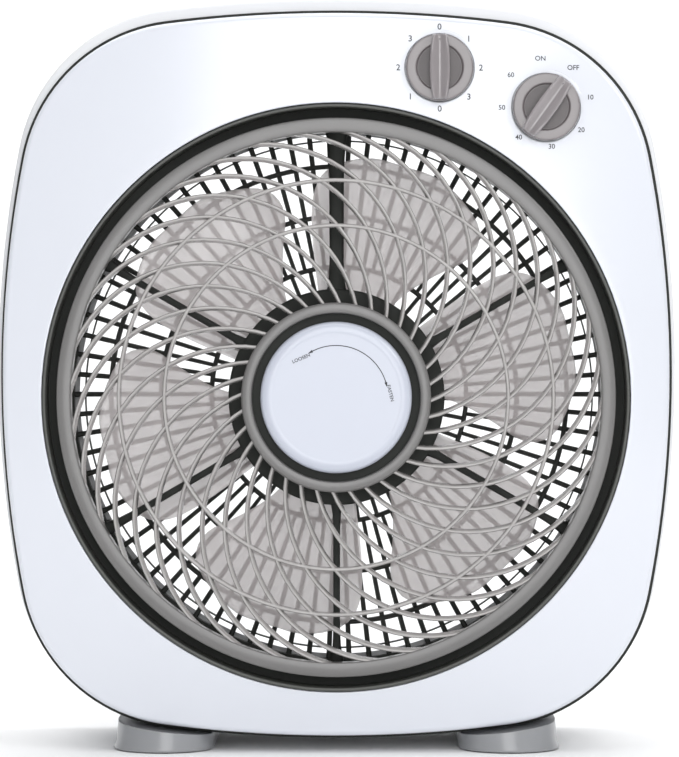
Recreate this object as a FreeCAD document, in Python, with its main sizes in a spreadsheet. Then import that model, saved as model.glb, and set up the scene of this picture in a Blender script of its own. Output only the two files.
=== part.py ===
import FreeCAD, Part
import math
import os
import re
import Sketcher
from FreeCAD import Placement, Rotation, Vector

# Box fan. X is to the right seen from the front, Y runs from the front to the back, Z is up.
# The origin is on the floor, under the middle of the whole fan. Millimetres and degrees.
doc = FreeCAD.newDocument("box_fan")

driving_sizes = [
    # the whole fan
    ("body_depth", 152.0), ("knob_projection", 10.0), ("floor_gap", 10.0),
    ("plate_half_width", 192.6), ("plate_half_height", 209.0),
    ("side_arc", 673.0), ("top_arc", 808.0), ("corner_arc", 95.0), ("fan_drop", 13.4),
    # front cover: a crowned white panel with a round opening
    ("cover_depth", 25.0), ("wall", 2.5), ("crown_radius", 1500.0), ("crown_start", 1.0),
    ("cover_edge_round", 3.2), ("opening_radius", 170.0), ("collar_end", 20.0),
    # rear shell: stands a little proud of the cover all round, most at the top
    ("seam_gap", 1.2), ("trim_proud", 3.0), ("shell_side_grow", 5.0), ("shell_tall_grow", 6.0), ("shell_lift", 4.0),
    ("shell_front_round", 2.2), ("shell_back_round", 26.0), ("lip_height", 6.0), ("lip_wall", 2.0),
    ("lip_clearance", 0.3), ("rear_opening", 160.5),
    # bezel sleeve in the opening
    ("bezel_clearance", 0.3), ("bezel_wall", 2.1), ("bezel_front", 1.5), ("bezel_flange", 2.0),
    ("bezel_reach", 174.0),
    # turning grille
    ("grille_radius", 161.6), ("grille_rim", 8.4), ("grille_front", 3.0), ("grille_depth", 10.0),
    ("outer_hoop", 125.6), ("inner_hoop", 99.4), ("hoop_width", 2.9), ("grille_hub", 54.8),
    ("grille_hub_wall", 6.1), ("web_thick", 3.0), ("spoke_count", 36), ("spoke_arc", 82.1),
    ("spoke_centre", 76.9), ("spoke_lead", 75.1), ("spoke_turn", 8.3), ("spoke_thick", 2.0),
    ("spoke_set_back", 1.0), ("spoke_depth", 8.0), ("bush_radius", 9.0), ("spindle_radius", 6.0),
    ("cap_travel_room", 1.6),
    ("running_gap", 0.05),
    # cap that locks the turning grille
    ("cap_radius", 43.8), ("cap_front", 1.0), ("cap_rim_end", 7.2), ("cap_wall", 2.2),
    ("cap_edge", 3.0), ("insert_end", 6.6), ("washer_radius", 16.0), ("washer_thick", 1.0),
    # spider that carries the motor and the spindle
    ("spider_inner", 156.5), ("spider_depth", 12.0), ("strut_depth", 10.0), ("disc_radius", 63.0),
    ("disc_thick", 4.0), ("disc_skirt", 9.0), ("strut_mid", 1.7), ("strut_root", 3.0),
    ("strut_tip", 5.35), ("cable_strut_root", 4.0), ("cable_strut_tip", 6.5), ("boss_rise", 4.0),
    ("boss_radius", 12.0), ("lead_radius", 2.2), ("lead_room", 0.4), ("lug_end", 198.0),
    ("lug_half_width", 15.0), ("lug_thick", 4.0),
    # duct round the blades
    ("duct_radius", 168.0), ("duct_wall", 2.0), ("duct_flange", 159.0), ("flange_thick", 4.0),
    # motor
    ("motor_radius", 48.0), ("stator_radius", 46.0), ("stator_bore", 25.2), ("stator_length", 28.0),
    ("bracket_length", 10.0), ("bracket_wall", 3.0), ("coil_inner", 27.5), ("coil_outer", 36.0),
    ("coil_overhang", 5.0), ("rotor_gap", 0.7), ("rotor_short", 2.0), ("shaft_radius", 4.0),
    ("shaft_length", 84.0), ("bearing_radius", 9.5), ("bearing_length", 6.0), ("bolt_radius", 2.0),
    ("bolt_circle", 41.0), ("bolt_head", 3.6), ("bolt_head_thick", 2.4), ("screw_gap", 0.05),
    # impeller
    ("tip_radius", 144.0), ("hub_radius", 60.0), ("hub_wall", 2.5), ("hub_behind_motor", 6.0),
    ("hub_length", 34.0), ("hub_boss_radius", 11.0), ("hub_boss_length", 14.0),
    ("blade_thick", 2.4), ("blade_turn", 44.0), ("nut_flats", 7.0), ("nut_thick", 6.0),
    ("pin_radius", 1.5), ("pin_length", 18.0), ("pin_from_boss_end", 4.0),
    # rear grille
    ("slat_count", 82), ("slat_inner", 2.4), ("slat_outer", 3.2), ("slat_centre", 2.6),
    ("rear_depth", 6.5), ("rear_rim_inner", 163.2), ("rear_rim_gap", 0.3), ("rear_disc", 44.0),
    ("rear_hoop_1", 78.6), ("rear_hoop_2", 109.8), ("rear_hoop_3", 140.7), ("rear_hoop_width", 2.8),
    ("rear_rim_depth", 8.0), ("rear_screw_circle", 164.3), ("rear_ear_radius", 4.6),
    # knobs and what is behind them, measured from the middle of the cover
    ("speed_x", 59.7), ("speed_z", 176.8), ("timer_x", 121.2), ("timer_z", 154.0),
    ("knob_radius", 19.5), ("knob_gap", 0.8), ("knob_dish", 13.4), ("dish_depth", 1.6),
    ("knob_rise", 3.4), ("grip_half_width", 6.0), ("cup_floor", 8.5), ("cup_wall", 2.0),
    ("cup_floor_thick", 2.5), ("spindle_small", 3.0), ("bushing_radius", 5.0),
    ("switch_width", 27.0), ("switch_depth", 26.0), ("timer_width", 38.0), ("timer_depth", 44.0),
    ("control_shaft_engage", 14.0), ("knob_cap_wall", 4.0), ("timer_rest", 35.5),
    # screws that hold the cover to the shell, the grille, the spider and the feet
    ("post_x", 155.0), ("post_z", 145.0), ("post_radius", 6.5), ("well_radius", 4.5),
    ("cover_post_radius", 5.0), ("long_screw", 2.0), ("long_head", 3.8), ("long_head_thick", 3.0),
    ("long_screw_bite", 13.0), ("well_floor", 3.0), ("small_screw", 1.5), ("small_head", 2.7),
    ("small_head_thick", 1.8), ("small_bite", 6.0), ("spider_screw_circle", 164.4),
    # feet
    ("foot_inner", 71.2), ("foot_outer", 130.5), ("foot_lean", 4.5), ("foot_lift", 0.5),
    ("foot_start", 2.0), ("foot_length", 139.0), ("foot_round", 1.6), ("pad_radius", 9.0),
    ("pad_recess", 2.0), ("pad_inset", 18.0), ("foot_top", 24.0), ("foot_screw_inset", 40.0),
    ("foot_screw_length", 9.0), ("foot_clearance", 1.6),
    # inlet, capacitor, terminals
    ("gland_x", 128.0), ("gland_z", 62.0), ("gland_flange", 10.0), ("gland_body", 8.0),
    ("gland_bore", 3.6), ("gland_length", 20.0), ("gland_nut_flats", 11.5), ("gland_nut_thick", 5.0),
    ("capacitor_x", -118.0), ("capacitor_z", 150.0), ("capacitor_width", 40.0),
    ("capacitor_height", 24.0), ("capacitor_depth", 52.0), ("terminal_height", 16.0),
    ("terminal_depth", 9.0),
]

# places that follow from the driving sizes
derived_places = {
    "front_y": "((knob_projection - body_depth) / 2)",
    "back_y": "((knob_projection + body_depth) / 2)",
    "plate_z": "(floor_gap + plate_half_height)",
    "fan_z": "(floor_gap + plate_half_height - fan_drop)",
    "shell_y": "(front_y + cover_depth + seam_gap)",
    "spider_y": "(front_y + collar_end + bezel_flange)",
    "disc_back": "(spider_y + disc_thick)",
    "duct_y": "(spider_y + spider_depth)",
    "grille_y": "(front_y + grille_front)",
    "web_back": "(grille_y + grille_depth - 1)",
    "stator_y": "(disc_back + bracket_length)",
    "motor_back": "(stator_y + stator_length + bracket_length)",
    "hub_back": "(motor_back + hub_behind_motor)",
    "rear_wall": "(back_y - wall)",
    "cup_y": "(front_y + cup_floor)",
    "switch_y": "(cup_y + cup_floor_thick)",
}

sheet = doc.addObject("Spreadsheet::Sheet", "sizes")
for row, (alias, value) in enumerate(driving_sizes, start=1):
    sheet.set("A%d" % row, alias.replace("_", " "))
    sheet.set("B%d" % row, str(value))
    sheet.setAlias("B%d" % row, alias)
doc.recompute()
aliases = {alias for alias, value in driving_sizes}


def expand(text):
    """Write a size formula in full, with every name as a cell of the sheet."""
    def full_name(found):
        word = found.group(0)
        if word in aliases:
            return "sizes." + word
        if word in derived_places:
            return expand(derived_places[word])
        return word
    return re.sub(r"[a-z][a-z_0-9]*", full_name, str(text))


probe = doc.addObject("App::FeaturePython", "probe")
probe.addProperty("App::PropertyFloat", "reading")


def number(text):
    """The present value of a size formula."""
    probe.setExpression("reading", expand(text))
    probe.recompute()
    return probe.reading


def bind(thing, prop, text):
    thing.setExpression(prop, expand(text))


def put(thing, across="0", deep="0", up="0", rotation=None):
    """Place an object, each coordinate bound to a formula."""
    thing.Placement = Placement(Vector(), rotation or Rotation())
    for axis, text in (("x", across), ("y", deep), ("z", up)):
        bind(thing, "Placement.Base." + axis, text)
    return thing


along_y = Rotation(Vector(1, 0, 0), -90)


def rod(name, radius, start, length, across="0", up="fan_z"):
    """A cylinder that runs backwards along Y."""
    made = doc.addObject("Part::Cylinder", name)
    bind(made, "Radius", radius)
    bind(made, "Height", length)
    return put(made, across, start, up, along_y)


def post(name, radius, bottom, height, across, deep):
    """A cylinder that stands upright."""
    made = doc.addObject("Part::Cylinder", name)
    bind(made, "Radius", radius)
    bind(made, "Height", height)
    return put(made, across, deep, bottom)


def block(name, width, depth, height, across, deep, up):
    """A box whose across and up are the middle, and deep the front face."""
    made = doc.addObject("Part::Box", name)
    bind(made, "Length", width)
    bind(made, "Width", depth)
    bind(made, "Height", height)
    return put(made, "%s - (%s) / 2" % (across, width), deep, "%s - (%s) / 2" % (up, height))


def nut(name, flats, start, thick, across="0", up="fan_z"):
    """A hexagonal prism along Y."""
    made = doc.addObject("Part::Prism", name)
    made.Polygon = 6
    bind(made, "Circumradius", flats)
    bind(made, "Height", thick)
    return put(made, across, start, up, along_y)


def join(name, things):
    made = doc.addObject("Part::MultiFuse", name)
    made.Shapes = things
    return made


def cut(name, base, tools):
    """Take one or more tools away from a base."""
    made = doc.addObject("Part::Cut", name)
    made.Base = base
    made.Tool = tools[0] if len(tools) == 1 else join(name + "_tools", tools)
    return made


def common(name, base, tool):
    made = doc.addObject("Part::Common", name)
    made.Base = base
    made.Tool = tool
    return made


def rounded(name, base, radius, picks):
    """Fillet the edges of base that picks accepts."""
    doc.recompute()
    made = doc.addObject("Part::Fillet", name)
    made.Base = base
    reach = number(radius)
    made.Edges = [(i, reach, reach) for i, edge in enumerate(base.Shape.Edges, start=1) if picks(edge)]
    return made


def new_body(name, across="0", deep="0", up="0", rotation=None):
    return put(doc.addObject("PartDesign::Body", name), across, deep, up, rotation)


def new_sketch(body, name, role="XZ_Plane", offset=None):
    made = body.newObject("Sketcher::SketchObject", name)
    plane = [item for item in body.Origin.OriginFeatures if item.Role == role][0]
    made.AttachmentSupport = (plane, [""])
    made.MapMode = "FlatFace"
    if offset:
        bind(made, "AttachmentOffset.Base.z", offset)
    return made


def pin_point(sketch, geometry, vertex, across, up):
    """Hold a sketch point at two formulas, measured from the sketch's origin."""
    for kind, text, axis in (("DistanceX", across, -2), ("DistanceY", up, -1)):
        value = number(text)
        if abs(value) < 1e-9:
            sketch.addConstraint(Sketcher.Constraint("PointOnObject", geometry, vertex, axis))
        else:
            index = sketch.addConstraint(Sketcher.Constraint(kind, -1, 1, geometry, vertex, value))
            sketch.setExpression("Constraints[%d]" % index, expand(text))


def polygon(sketch, points):
    """Closed straight-sided outline, each corner at two formulas."""
    spots = [Vector(number(across), number(up), 0) for across, up in points]
    first = sketch.GeometryCount
    count = len(points)
    for i in range(count):
        sketch.addGeometry(Part.LineSegment(spots[i], spots[(i + 1) % count]), False)
    for i in range(count):
        sketch.addConstraint(Sketcher.Constraint("Coincident", first + i, 2, first + (i + 1) % count, 1))
    for i, (across, up) in enumerate(points):
        pin_point(sketch, first + i, 1, across, up)


def circle(sketch, radius):
    """A circle about the sketch's origin."""
    index = sketch.addGeometry(Part.Circle(Vector(), Vector(0, 0, 1), number(radius)), False)
    sketch.addConstraint(Sketcher.Constraint("Coincident", index, 3, -1, 1))
    held = sketch.addConstraint(Sketcher.Constraint("Radius", index, number(radius)))
    sketch.setExpression("Constraints[%d]" % held, expand(radius))


def pad(body, name, sketch, length, away=False):
    """Raise a sketch towards the front of the fan, or away from it."""
    made = body.newObject("PartDesign::Pad", name)
    made.Profile = sketch
    made.Reversed = away
    bind(made, "Length", length)
    body.Tip = made
    return made


def turned(name, outline, across="0", up="fan_z"):
    """A turned piece about an axis along Y. Its outline is a list of (y, radius)."""
    body = new_body(name, across, "0", up)
    profile = new_sketch(body, name + "_profile", "YZ_Plane")
    polygon(profile, outline)
    made = body.newObject("PartDesign::Revolution", name + "_turn")
    made.Profile = profile
    made.ReferenceAxis = (profile, ["H_Axis"])
    made.Angle = 360
    body.Tip = made
    return body


def pipe(name, outer, inner, start, end, across="0", up="fan_z"):
    return turned(name, [(start, inner), (end, inner), (end, outer), (start, outer)], across, up)


def pattern(body, name, features, sketch, count):
    """Repeat features all round the sketch's normal."""
    made = body.newObject("PartDesign::PolarPattern", name)
    made.Originals = features
    made.Axis = (sketch, ["N_Axis"])
    made.Angle = 360
    bind(made, "Occurrences", count)
    body.Tip = made
    return made


def ring_of(name, count, start_angle, make):
    """Make count pieces round the fan axis: make(name, across, up) for each."""
    made = []
    for i in range(count):
        angle = "%g deg" % (start_angle + 360.0 * i / count)
        made.append(make("%s_%d" % (name, i + 1), "cos(%s)" % angle, "sin(%s)" % angle))
    return made


def corner_centre(half_width, half_height, side, top, corner):
    """Where a corner arc's centre lies, so that it touches the side arc and the top arc."""
    across, up = half_width - side, half_height - top
    near_side, near_top = side - corner, top - corner
    apart = math.hypot(across, up)
    along = (near_side ** 2 - near_top ** 2 + apart ** 2) / (2 * apart)
    off = math.sqrt(near_side ** 2 - along ** 2)
    unit = Vector(-across / apart, up / apart, 0)
    return Vector(across, 0, 0) + unit * along + Vector(-unit.y, unit.x, 0) * off


def soft_square(sketch, half_width, half_height, grow):
    """The fan's outline: four shallow arcs and four corner arcs, all tangent, eight in all."""
    side, top, corner = (text + " + " + grow for text in ("side_arc", "top_arc", "corner_arc"))
    a, b, rs, rt, rc = (number(text) for text in (half_width, half_height, side, top, corner))
    centre = corner_centre(a, b, rs, rt, rc)
    low = math.atan2(centre.y, centre.x - a + rs)
    high = math.atan2(centre.y - b + rt, centre.x)
    half = math.pi
    arcs = [
        (a - rs, 0, side, -low, low), (centre.x, centre.y, corner, low, high),
        (0, b - rt, top, high, half - high), (-centre.x, centre.y, corner, half - high, half - low),
        (rs - a, 0, side, half - low, half + low),
        (-centre.x, -centre.y, corner, half + low, half + high),
        (0, rt - b, top, half + high, 2 * half - high),
        (centre.x, -centre.y, corner, 2 * half - high, 2 * half - low),
    ]
    for x, y, radius, start, end in arcs:
        round_line = Part.Circle(Vector(x, y, 0), Vector(0, 0, 1), number(radius))
        sketch.addGeometry(Part.ArcOfCircle(round_line, start, end), False)
    for i, (x, y, radius, start, end) in enumerate(arcs):
        sketch.addConstraint(Sketcher.Constraint("Tangent", i, 2, (i + 1) % 8, 1))
        held = sketch.addConstraint(Sketcher.Constraint("Radius", i, number(radius)))
        sketch.setExpression("Constraints[%d]" % held, expand(radius))
    pin_point(sketch, 0, 3, "(%s) - (%s)" % (half_width, side), "0")
    pin_point(sketch, 2, 3, "0", "(%s) - (%s)" % (half_height, top))
    pin_point(sketch, 4, 3, "(%s) - (%s)" % (side, half_width), "0")
    pin_point(sketch, 6, 3, "0", "(%s) - (%s)" % (top, half_height))


def slab(name, half_width, half_height, grow, start, end, up="plate_z"):
    """A block with the fan's outline between two depths."""
    body = new_body(name, "0", end, up)
    outline = new_sketch(body, name + "_outline")
    soft_square(outline, half_width, half_height, grow)
    pad(body, name + "_pad", outline, "(%s) - (%s)" % (end, start))
    return body


def at_depth(level):
    """Accept edges that lie wholly at one depth."""
    return lambda edge: all(abs(p.y - level) < 0.01 for p in edge.discretize(5))


nodes = {}


def finished(label, thing):
    """Keep a piece: its label is its file's name."""
    thing.Label = label
    nodes[label] = thing
    return thing


# ---------------------------------------------------------------- front cover
def crowned_slab(name, inset, end, edge_round):
    """The cover's solid, with its front cut to a large sphere and its edge rounded."""
    base = slab(name, "plate_half_width - " + inset, "plate_half_height - " + inset,
                "(0 - %s)" % inset, "front_y - 12", end)
    ball = doc.addObject("Part::Sphere", name + "_crown")
    bind(ball, "Radius", "crown_radius - " + inset)
    put(ball, "0", "front_y + crown_start + sqrt(crown_radius ^ 2 - opening_radius ^ 2)", "plate_z")
    crowned = common(name + "_crowned", base, ball)
    level = number(end)
    front = number("front_y + cover_depth - 0.5")

    def on_front_edge(edge):
        spots = edge.discretize(5)
        return all(p.y < front for p in spots) and max(p.y for p in spots) < level - 1
    return rounded(name + "_rounded", crowned, edge_round, on_front_edge)


def control_places():
    return (("speed", "speed_x", "plate_z + speed_z"), ("timer", "timer_x", "plate_z + timer_z"))


def corner_places():
    return [("%s * post_x" % side, "plate_z + %s * post_z" % height)
            for side in ("(0 - 1)", "1") for height in ("(0 - 1)", "1")]


def make_front_cover():
    outer = crowned_slab("cover_outer", "0", "front_y + cover_depth", "cover_edge_round")
    inner = crowned_slab("cover_inner", "wall", "front_y + cover_depth + 5", "cover_edge_round - wall")
    skin = cut("cover_skin", outer, [inner])
    ahead = "front_y - 12"
    supports = [pipe("cover_collar", "opening_radius + wall", "opening_radius - 1", ahead,
                     "front_y + collar_end")]
    holes = [rod("cover_opening", "opening_radius", ahead, "60")]
    for name, across, up in control_places():
        supports.append(rod(name + "_cup", "knob_radius + knob_gap + cup_wall", ahead,
                            "cup_floor + cup_floor_thick + 12", across, up))
        holes.append(rod(name + "_cup_room", "knob_radius + knob_gap", ahead, "cup_floor + 12", across, up))
        holes.append(rod(name + "_bushing_hole", "bushing_radius", ahead, "40", across, up))
    for i, (across, up) in enumerate(corner_places()):
        supports.append(rod("cover_post_%d" % i, "cover_post_radius", ahead, "cover_depth + 12", across, up))
        holes.append(rod("cover_pilot_%d" % i, "long_screw + screw_gap",
                         "front_y + cover_depth - long_screw_bite", "long_screw_bite + 2", across, up))
    inside = common("cover_supports", join("cover_support_set", supports), outer)
    finished("front_cover", cut("front_cover", join("cover_whole", [skin, inside]), holes))


# ---------------------------------------------------------------- rear shell
def shell_slab(name, inset, start, end):
    return slab(name, "plate_half_width + shell_side_grow - " + inset,
                "plate_half_height + shell_tall_grow - " + inset,
                "(shell_side_grow - %s)" % inset, start, end, "plate_z + shell_lift")


def lip_slab(name, inset, start, end):
    inset = "(wall + lip_clearance + %s)" % inset
    return slab(name, "plate_half_width - " + inset, "plate_half_height - " + inset,
                "(0 - %s)" % inset, start, end)


def shell_outer():
    """The shell's outer solid, which also shapes the top of the feet."""
    raw = shell_slab("shell_block", "0", "shell_y", "back_y")
    back = rounded("shell_back_rounded", raw, "shell_back_round", at_depth(number("back_y")))
    return rounded("shell_rounded", back, "shell_front_round", at_depth(number("shell_y")))


def make_seam_trim():
    """A thin dark strip that fills the seam and shows as a line round the cover."""
    start, end = "front_y + cover_depth", "shell_y"
    outer = slab("trim_outer", "plate_half_width + trim_proud", "plate_half_height + trim_proud",
                 "trim_proud", start, end)
    inner = lip_slab("trim_inner", "(0 - lip_clearance)", start + " - 1", end + " + 1")
    posts = [rod("trim_post_room_%d" % i, "post_radius + 0.5", start + " - 1", "4", across, up)
             for i, (across, up) in enumerate(corner_places())]
    finished("seam_trim", cut("seam_trim", outer, [inner] + posts))


def foot_screw_places():
    return [("%s * (foot_inner + foot_outer) / 2" % side, "front_y + foot_start + " + deep)
            for side in ("(0 - 1)", "1")
            for deep in ("foot_screw_inset", "foot_length - foot_screw_inset")]


def make_rear_shell(outer):
    hollow = rounded("shell_hollow", shell_slab("shell_room", "wall", "shell_y + wall", "rear_wall"),
                     "shell_back_round - wall", at_depth(number("rear_wall")))
    skin = cut("shell_skin", outer, [hollow])
    lip_start = "front_y + cover_depth - lip_height"
    parts = [skin, lip_slab("shell_lip", "0", lip_start, "shell_y + wall")]
    holes = [lip_slab("shell_mouth", "lip_wall", lip_start + " - 2", "shell_y + wall + 1"),
             rod("shell_opening", "rear_opening", "rear_wall - 4", "wall + 8")]
    framed = cut("shell_framed", join("shell_with_lip", parts), holes)
    posts, wells = [], []
    for i, (across, up) in enumerate(corner_places()):
        posts.append(rod("shell_post_%d" % i, "post_radius", "front_y + cover_depth",
                         "back_y - front_y - cover_depth - 0.5", across, up))
        wells.append(rod("shell_well_%d" % i, "well_radius", "front_y + cover_depth + well_floor",
                         "body_depth", across, up))
        wells.append(rod("shell_well_hole_%d" % i, "long_screw + screw_gap", "front_y + cover_depth - 1",
                         "well_floor + 2", across, up))
    wells.append(rod("gland_hole", "gland_body + 0.2", "rear_wall - 2", "wall + 4", "gland_x", "gland_z"))
    wells.append(rod("gland_seat", "gland_flange + 0.2", "rear_wall + 1", "wall", "gland_x", "gland_z"))
    for i, (across, deep) in enumerate(foot_screw_places()):
        wells.append(post("shell_foot_hole_%d" % i, "long_screw + screw_gap", "0", "30", across, deep))
    wells += rear_screws("shell_screw_seat", "small_head + 0.2", "back_y - small_head_thick", "5")
    wells += rear_screws("shell_screw_hole", "small_screw + screw_gap", "rear_wall - 1", "wall + 2")
    finished("rear_shell", cut("rear_shell", join("shell_whole", [framed] + posts), wells))


def rear_screws(name, radius, start, length):
    return ring_of(name, 6, 30.0, lambda n, c, s: rod(
        n, radius, start, length, "rear_screw_circle * " + c, "fan_z + rear_screw_circle * " + s))


# ---------------------------------------------------------------- rings and duct
def make_bezel_and_duct():
    outer = "opening_radius - bezel_clearance"
    inner = outer + " - bezel_wall"
    end = "front_y + collar_end"
    finished("bezel_ring", turned("bezel_ring", [
        ("front_y + bezel_front", inner), (end + " + bezel_flange", inner),
        (end + " + bezel_flange", "bezel_reach"), (end, "bezel_reach"), (end, outer),
        ("front_y + bezel_front", outer)]))
    duct = turned("duct_tube", [
        ("duct_y", "duct_flange"), ("duct_y + flange_thick", "duct_flange"),
        ("duct_y + flange_thick", "duct_radius"), ("rear_wall", "duct_radius"),
        ("rear_wall", "duct_radius + duct_wall"), ("duct_y", "duct_radius + duct_wall")])
    finished("air_duct", cut("air_duct", duct, spider_screw_rods("duct_hole", "small_screw + screw_gap",
                                                                 "duct_y - 1", "flange_thick + 2")))


def spider_screw_rods(name, radius, start, length):
    return ring_of(name, 6, 60.0, lambda n, c, s: rod(
        n, radius, start, length, "spider_screw_circle * " + c, "fan_z + spider_screw_circle * " + s))


# ---------------------------------------------------------------- turning grille
def crossing(centre, radius, reach):
    """Where a spoke's arc crosses the circle of the given reach about the fan axis."""
    far = centre.Length
    along = (far ** 2 + reach ** 2 - radius ** 2) / (2 * far)
    off = math.sqrt(reach ** 2 - along ** 2)
    unit = centre * (1 / far)
    return unit * along + Vector(unit.y, -unit.x, 0) * off


def arc_between(first, last, centre):
    """The shorter arc from one point to another about a centre."""
    bisector = (first - centre) + (last - centre)
    middle = centre + bisector.normalize() * (first - centre).Length
    return Part.Arc(first, middle, last).toShape()


def lattice(name, outer, hole, windows, start, depth):
    """A flat disc with many windows, raised in one step because it has hundreds of edges."""
    rims = [Part.Wire([Part.Circle(Vector(), Vector(0, 0, 1), reach).toShape()])
            for reach in (outer, hole) if reach]
    wires = rims + [Part.Wire(window) for window in windows]
    sheet_face = Part.makeFace(wires, "Part::FaceMakerBullseye")
    made = doc.addObject("Part::Feature", name)
    made.Shape = sheet_face.extrude(Vector(0, 0, number(depth)))
    return put(made, "0", "%s + %s" % (start, depth), "fan_z", Rotation(Vector(1, 0, 0), 90))


def spoke_window(near, far, turn):
    """The gap between one spoke and the next, from one hoop to the next."""
    centres = [Vector(number("spoke_centre"), 0, 0), Vector(number("spoke_centre"), 0, 0)]
    pitch = 360.0 / number("spoke_count")
    base = number("spoke_turn + spoke_lead") + turn * pitch
    for i, centre in enumerate(centres):
        angle = math.radians(base + i * pitch)
        centres[i] = Vector(centre.x * math.cos(angle), centre.x * math.sin(angle), 0)
    inside, outside = number("spoke_arc - spoke_thick / 2"), number("spoke_arc + spoke_thick / 2")
    low, high = crossing(centres[0], inside, near), crossing(centres[0], inside, far)
    next_high, next_low = crossing(centres[1], outside, far), crossing(centres[1], outside, near)
    return [arc_between(low, high, centres[0]), arc_between(high, next_high, Vector()),
            arc_between(next_high, next_low, centres[1]), arc_between(next_low, low, Vector())]


def make_turning_grille():
    back = "(grille_y + grille_depth)"
    half = number("hoop_width / 2")
    inner_hoop, outer_hoop = number("inner_hoop"), number("outer_hoop")
    hole, rim = number("grille_hub - grille_hub_wall / 2"), number("grille_radius - grille_rim / 2")
    zones = [(number("grille_hub") - 0.2, inner_hoop - half), (inner_hoop + half, outer_hoop - half),
             (outer_hoop + half, number("grille_radius - grille_rim") + 0.2)]
    windows = [spoke_window(near, far, turn) for near, far in zones for turn in range(int(number("spoke_count")))]
    spokes = lattice("spokes", rim, hole, windows, back + " - spoke_set_back - spoke_depth", "spoke_depth")
    rings = [pipe("grille_rim_ring", "grille_radius", "grille_radius - grille_rim", "grille_y", back),
             pipe("grille_hub_ring", "grille_hub", "grille_hub - grille_hub_wall", "grille_y - 1", back),
             pipe("grille_web", "grille_hub - 1", "bush_radius", "web_back - web_thick", "web_back")]
    finished("rotating_grille", join("rotating_grille", [spokes] + rings))
    washer_room = "grille_y + grille_depth - 1 - web_thick"
    finished("grille_bush", turned("grille_bush", [
        (washer_room, "spindle_radius + running_gap"),
        ("spider_y - boss_rise - 0.4", "spindle_radius + running_gap"),
        ("spider_y - boss_rise - 0.4", "bush_radius + 2"), ("web_back", "bush_radius + 2"),
        ("web_back", "bush_radius"), (washer_room, "bush_radius")]))


def make_lock():
    tip = "front_y + cap_front"
    rim = "front_y + cap_rim_end"
    finished("lock_cap", turned("lock_cap", [
        (tip, "0"), (tip, "cap_radius - cap_edge"), (tip + " + cap_edge / 2", "cap_radius"),
        (rim, "cap_radius"), (rim, "cap_radius - cap_wall"),
        (tip + " + cap_edge / 2 + cap_wall", "cap_radius - cap_wall"),
        (tip + " + cap_wall", "cap_radius - cap_edge - cap_wall"),
        (tip + " + cap_wall", "bush_radius + 3"), ("front_y + insert_end", "bush_radius + 3"),
        ("front_y + insert_end", "bush_radius"), (tip + " + cap_wall", "bush_radius"),
        (tip + " + cap_wall", "0")]))
    finished("threaded_insert", pipe("threaded_insert", "bush_radius", "spindle_radius + running_gap",
                                     tip + " + cap_wall", "front_y + insert_end"))
    finished("pressure_washer", pipe("pressure_washer", "washer_radius", "spindle_radius + running_gap",
                                     "front_y + insert_end", "front_y + insert_end + washer_thick"))
    finished("grille_spindle", turned("grille_spindle", [
        (tip + " + cap_wall + cap_travel_room", "0"), (tip + " + cap_wall + cap_travel_room", "spindle_radius"),
        ("spider_y + disc_thick - 1", "spindle_radius"), ("spider_y + disc_thick - 1", "0")]))


# ---------------------------------------------------------------- spider
def strut_points(root, middle, tip, inner, outer):
    """Half outlines of a strut that flares like a trumpet at both ends."""
    steps = ((0.0, root), (0.06, "(%s) * 0.72 + (%s) * 0.28" % (root, middle)), (0.16, middle),
             (0.72, middle), (0.88, "(%s) * 0.72 + (%s) * 0.28" % (middle, tip)), (1.0, tip))
    right = [("(%s)" % half, "(%s) * %g + (%s) * %g" % (inner, 1 - share, outer, share))
             for share, half in steps]
    left = [("0 - " + half, up) for half, up in reversed(right)]
    return right + left


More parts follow.
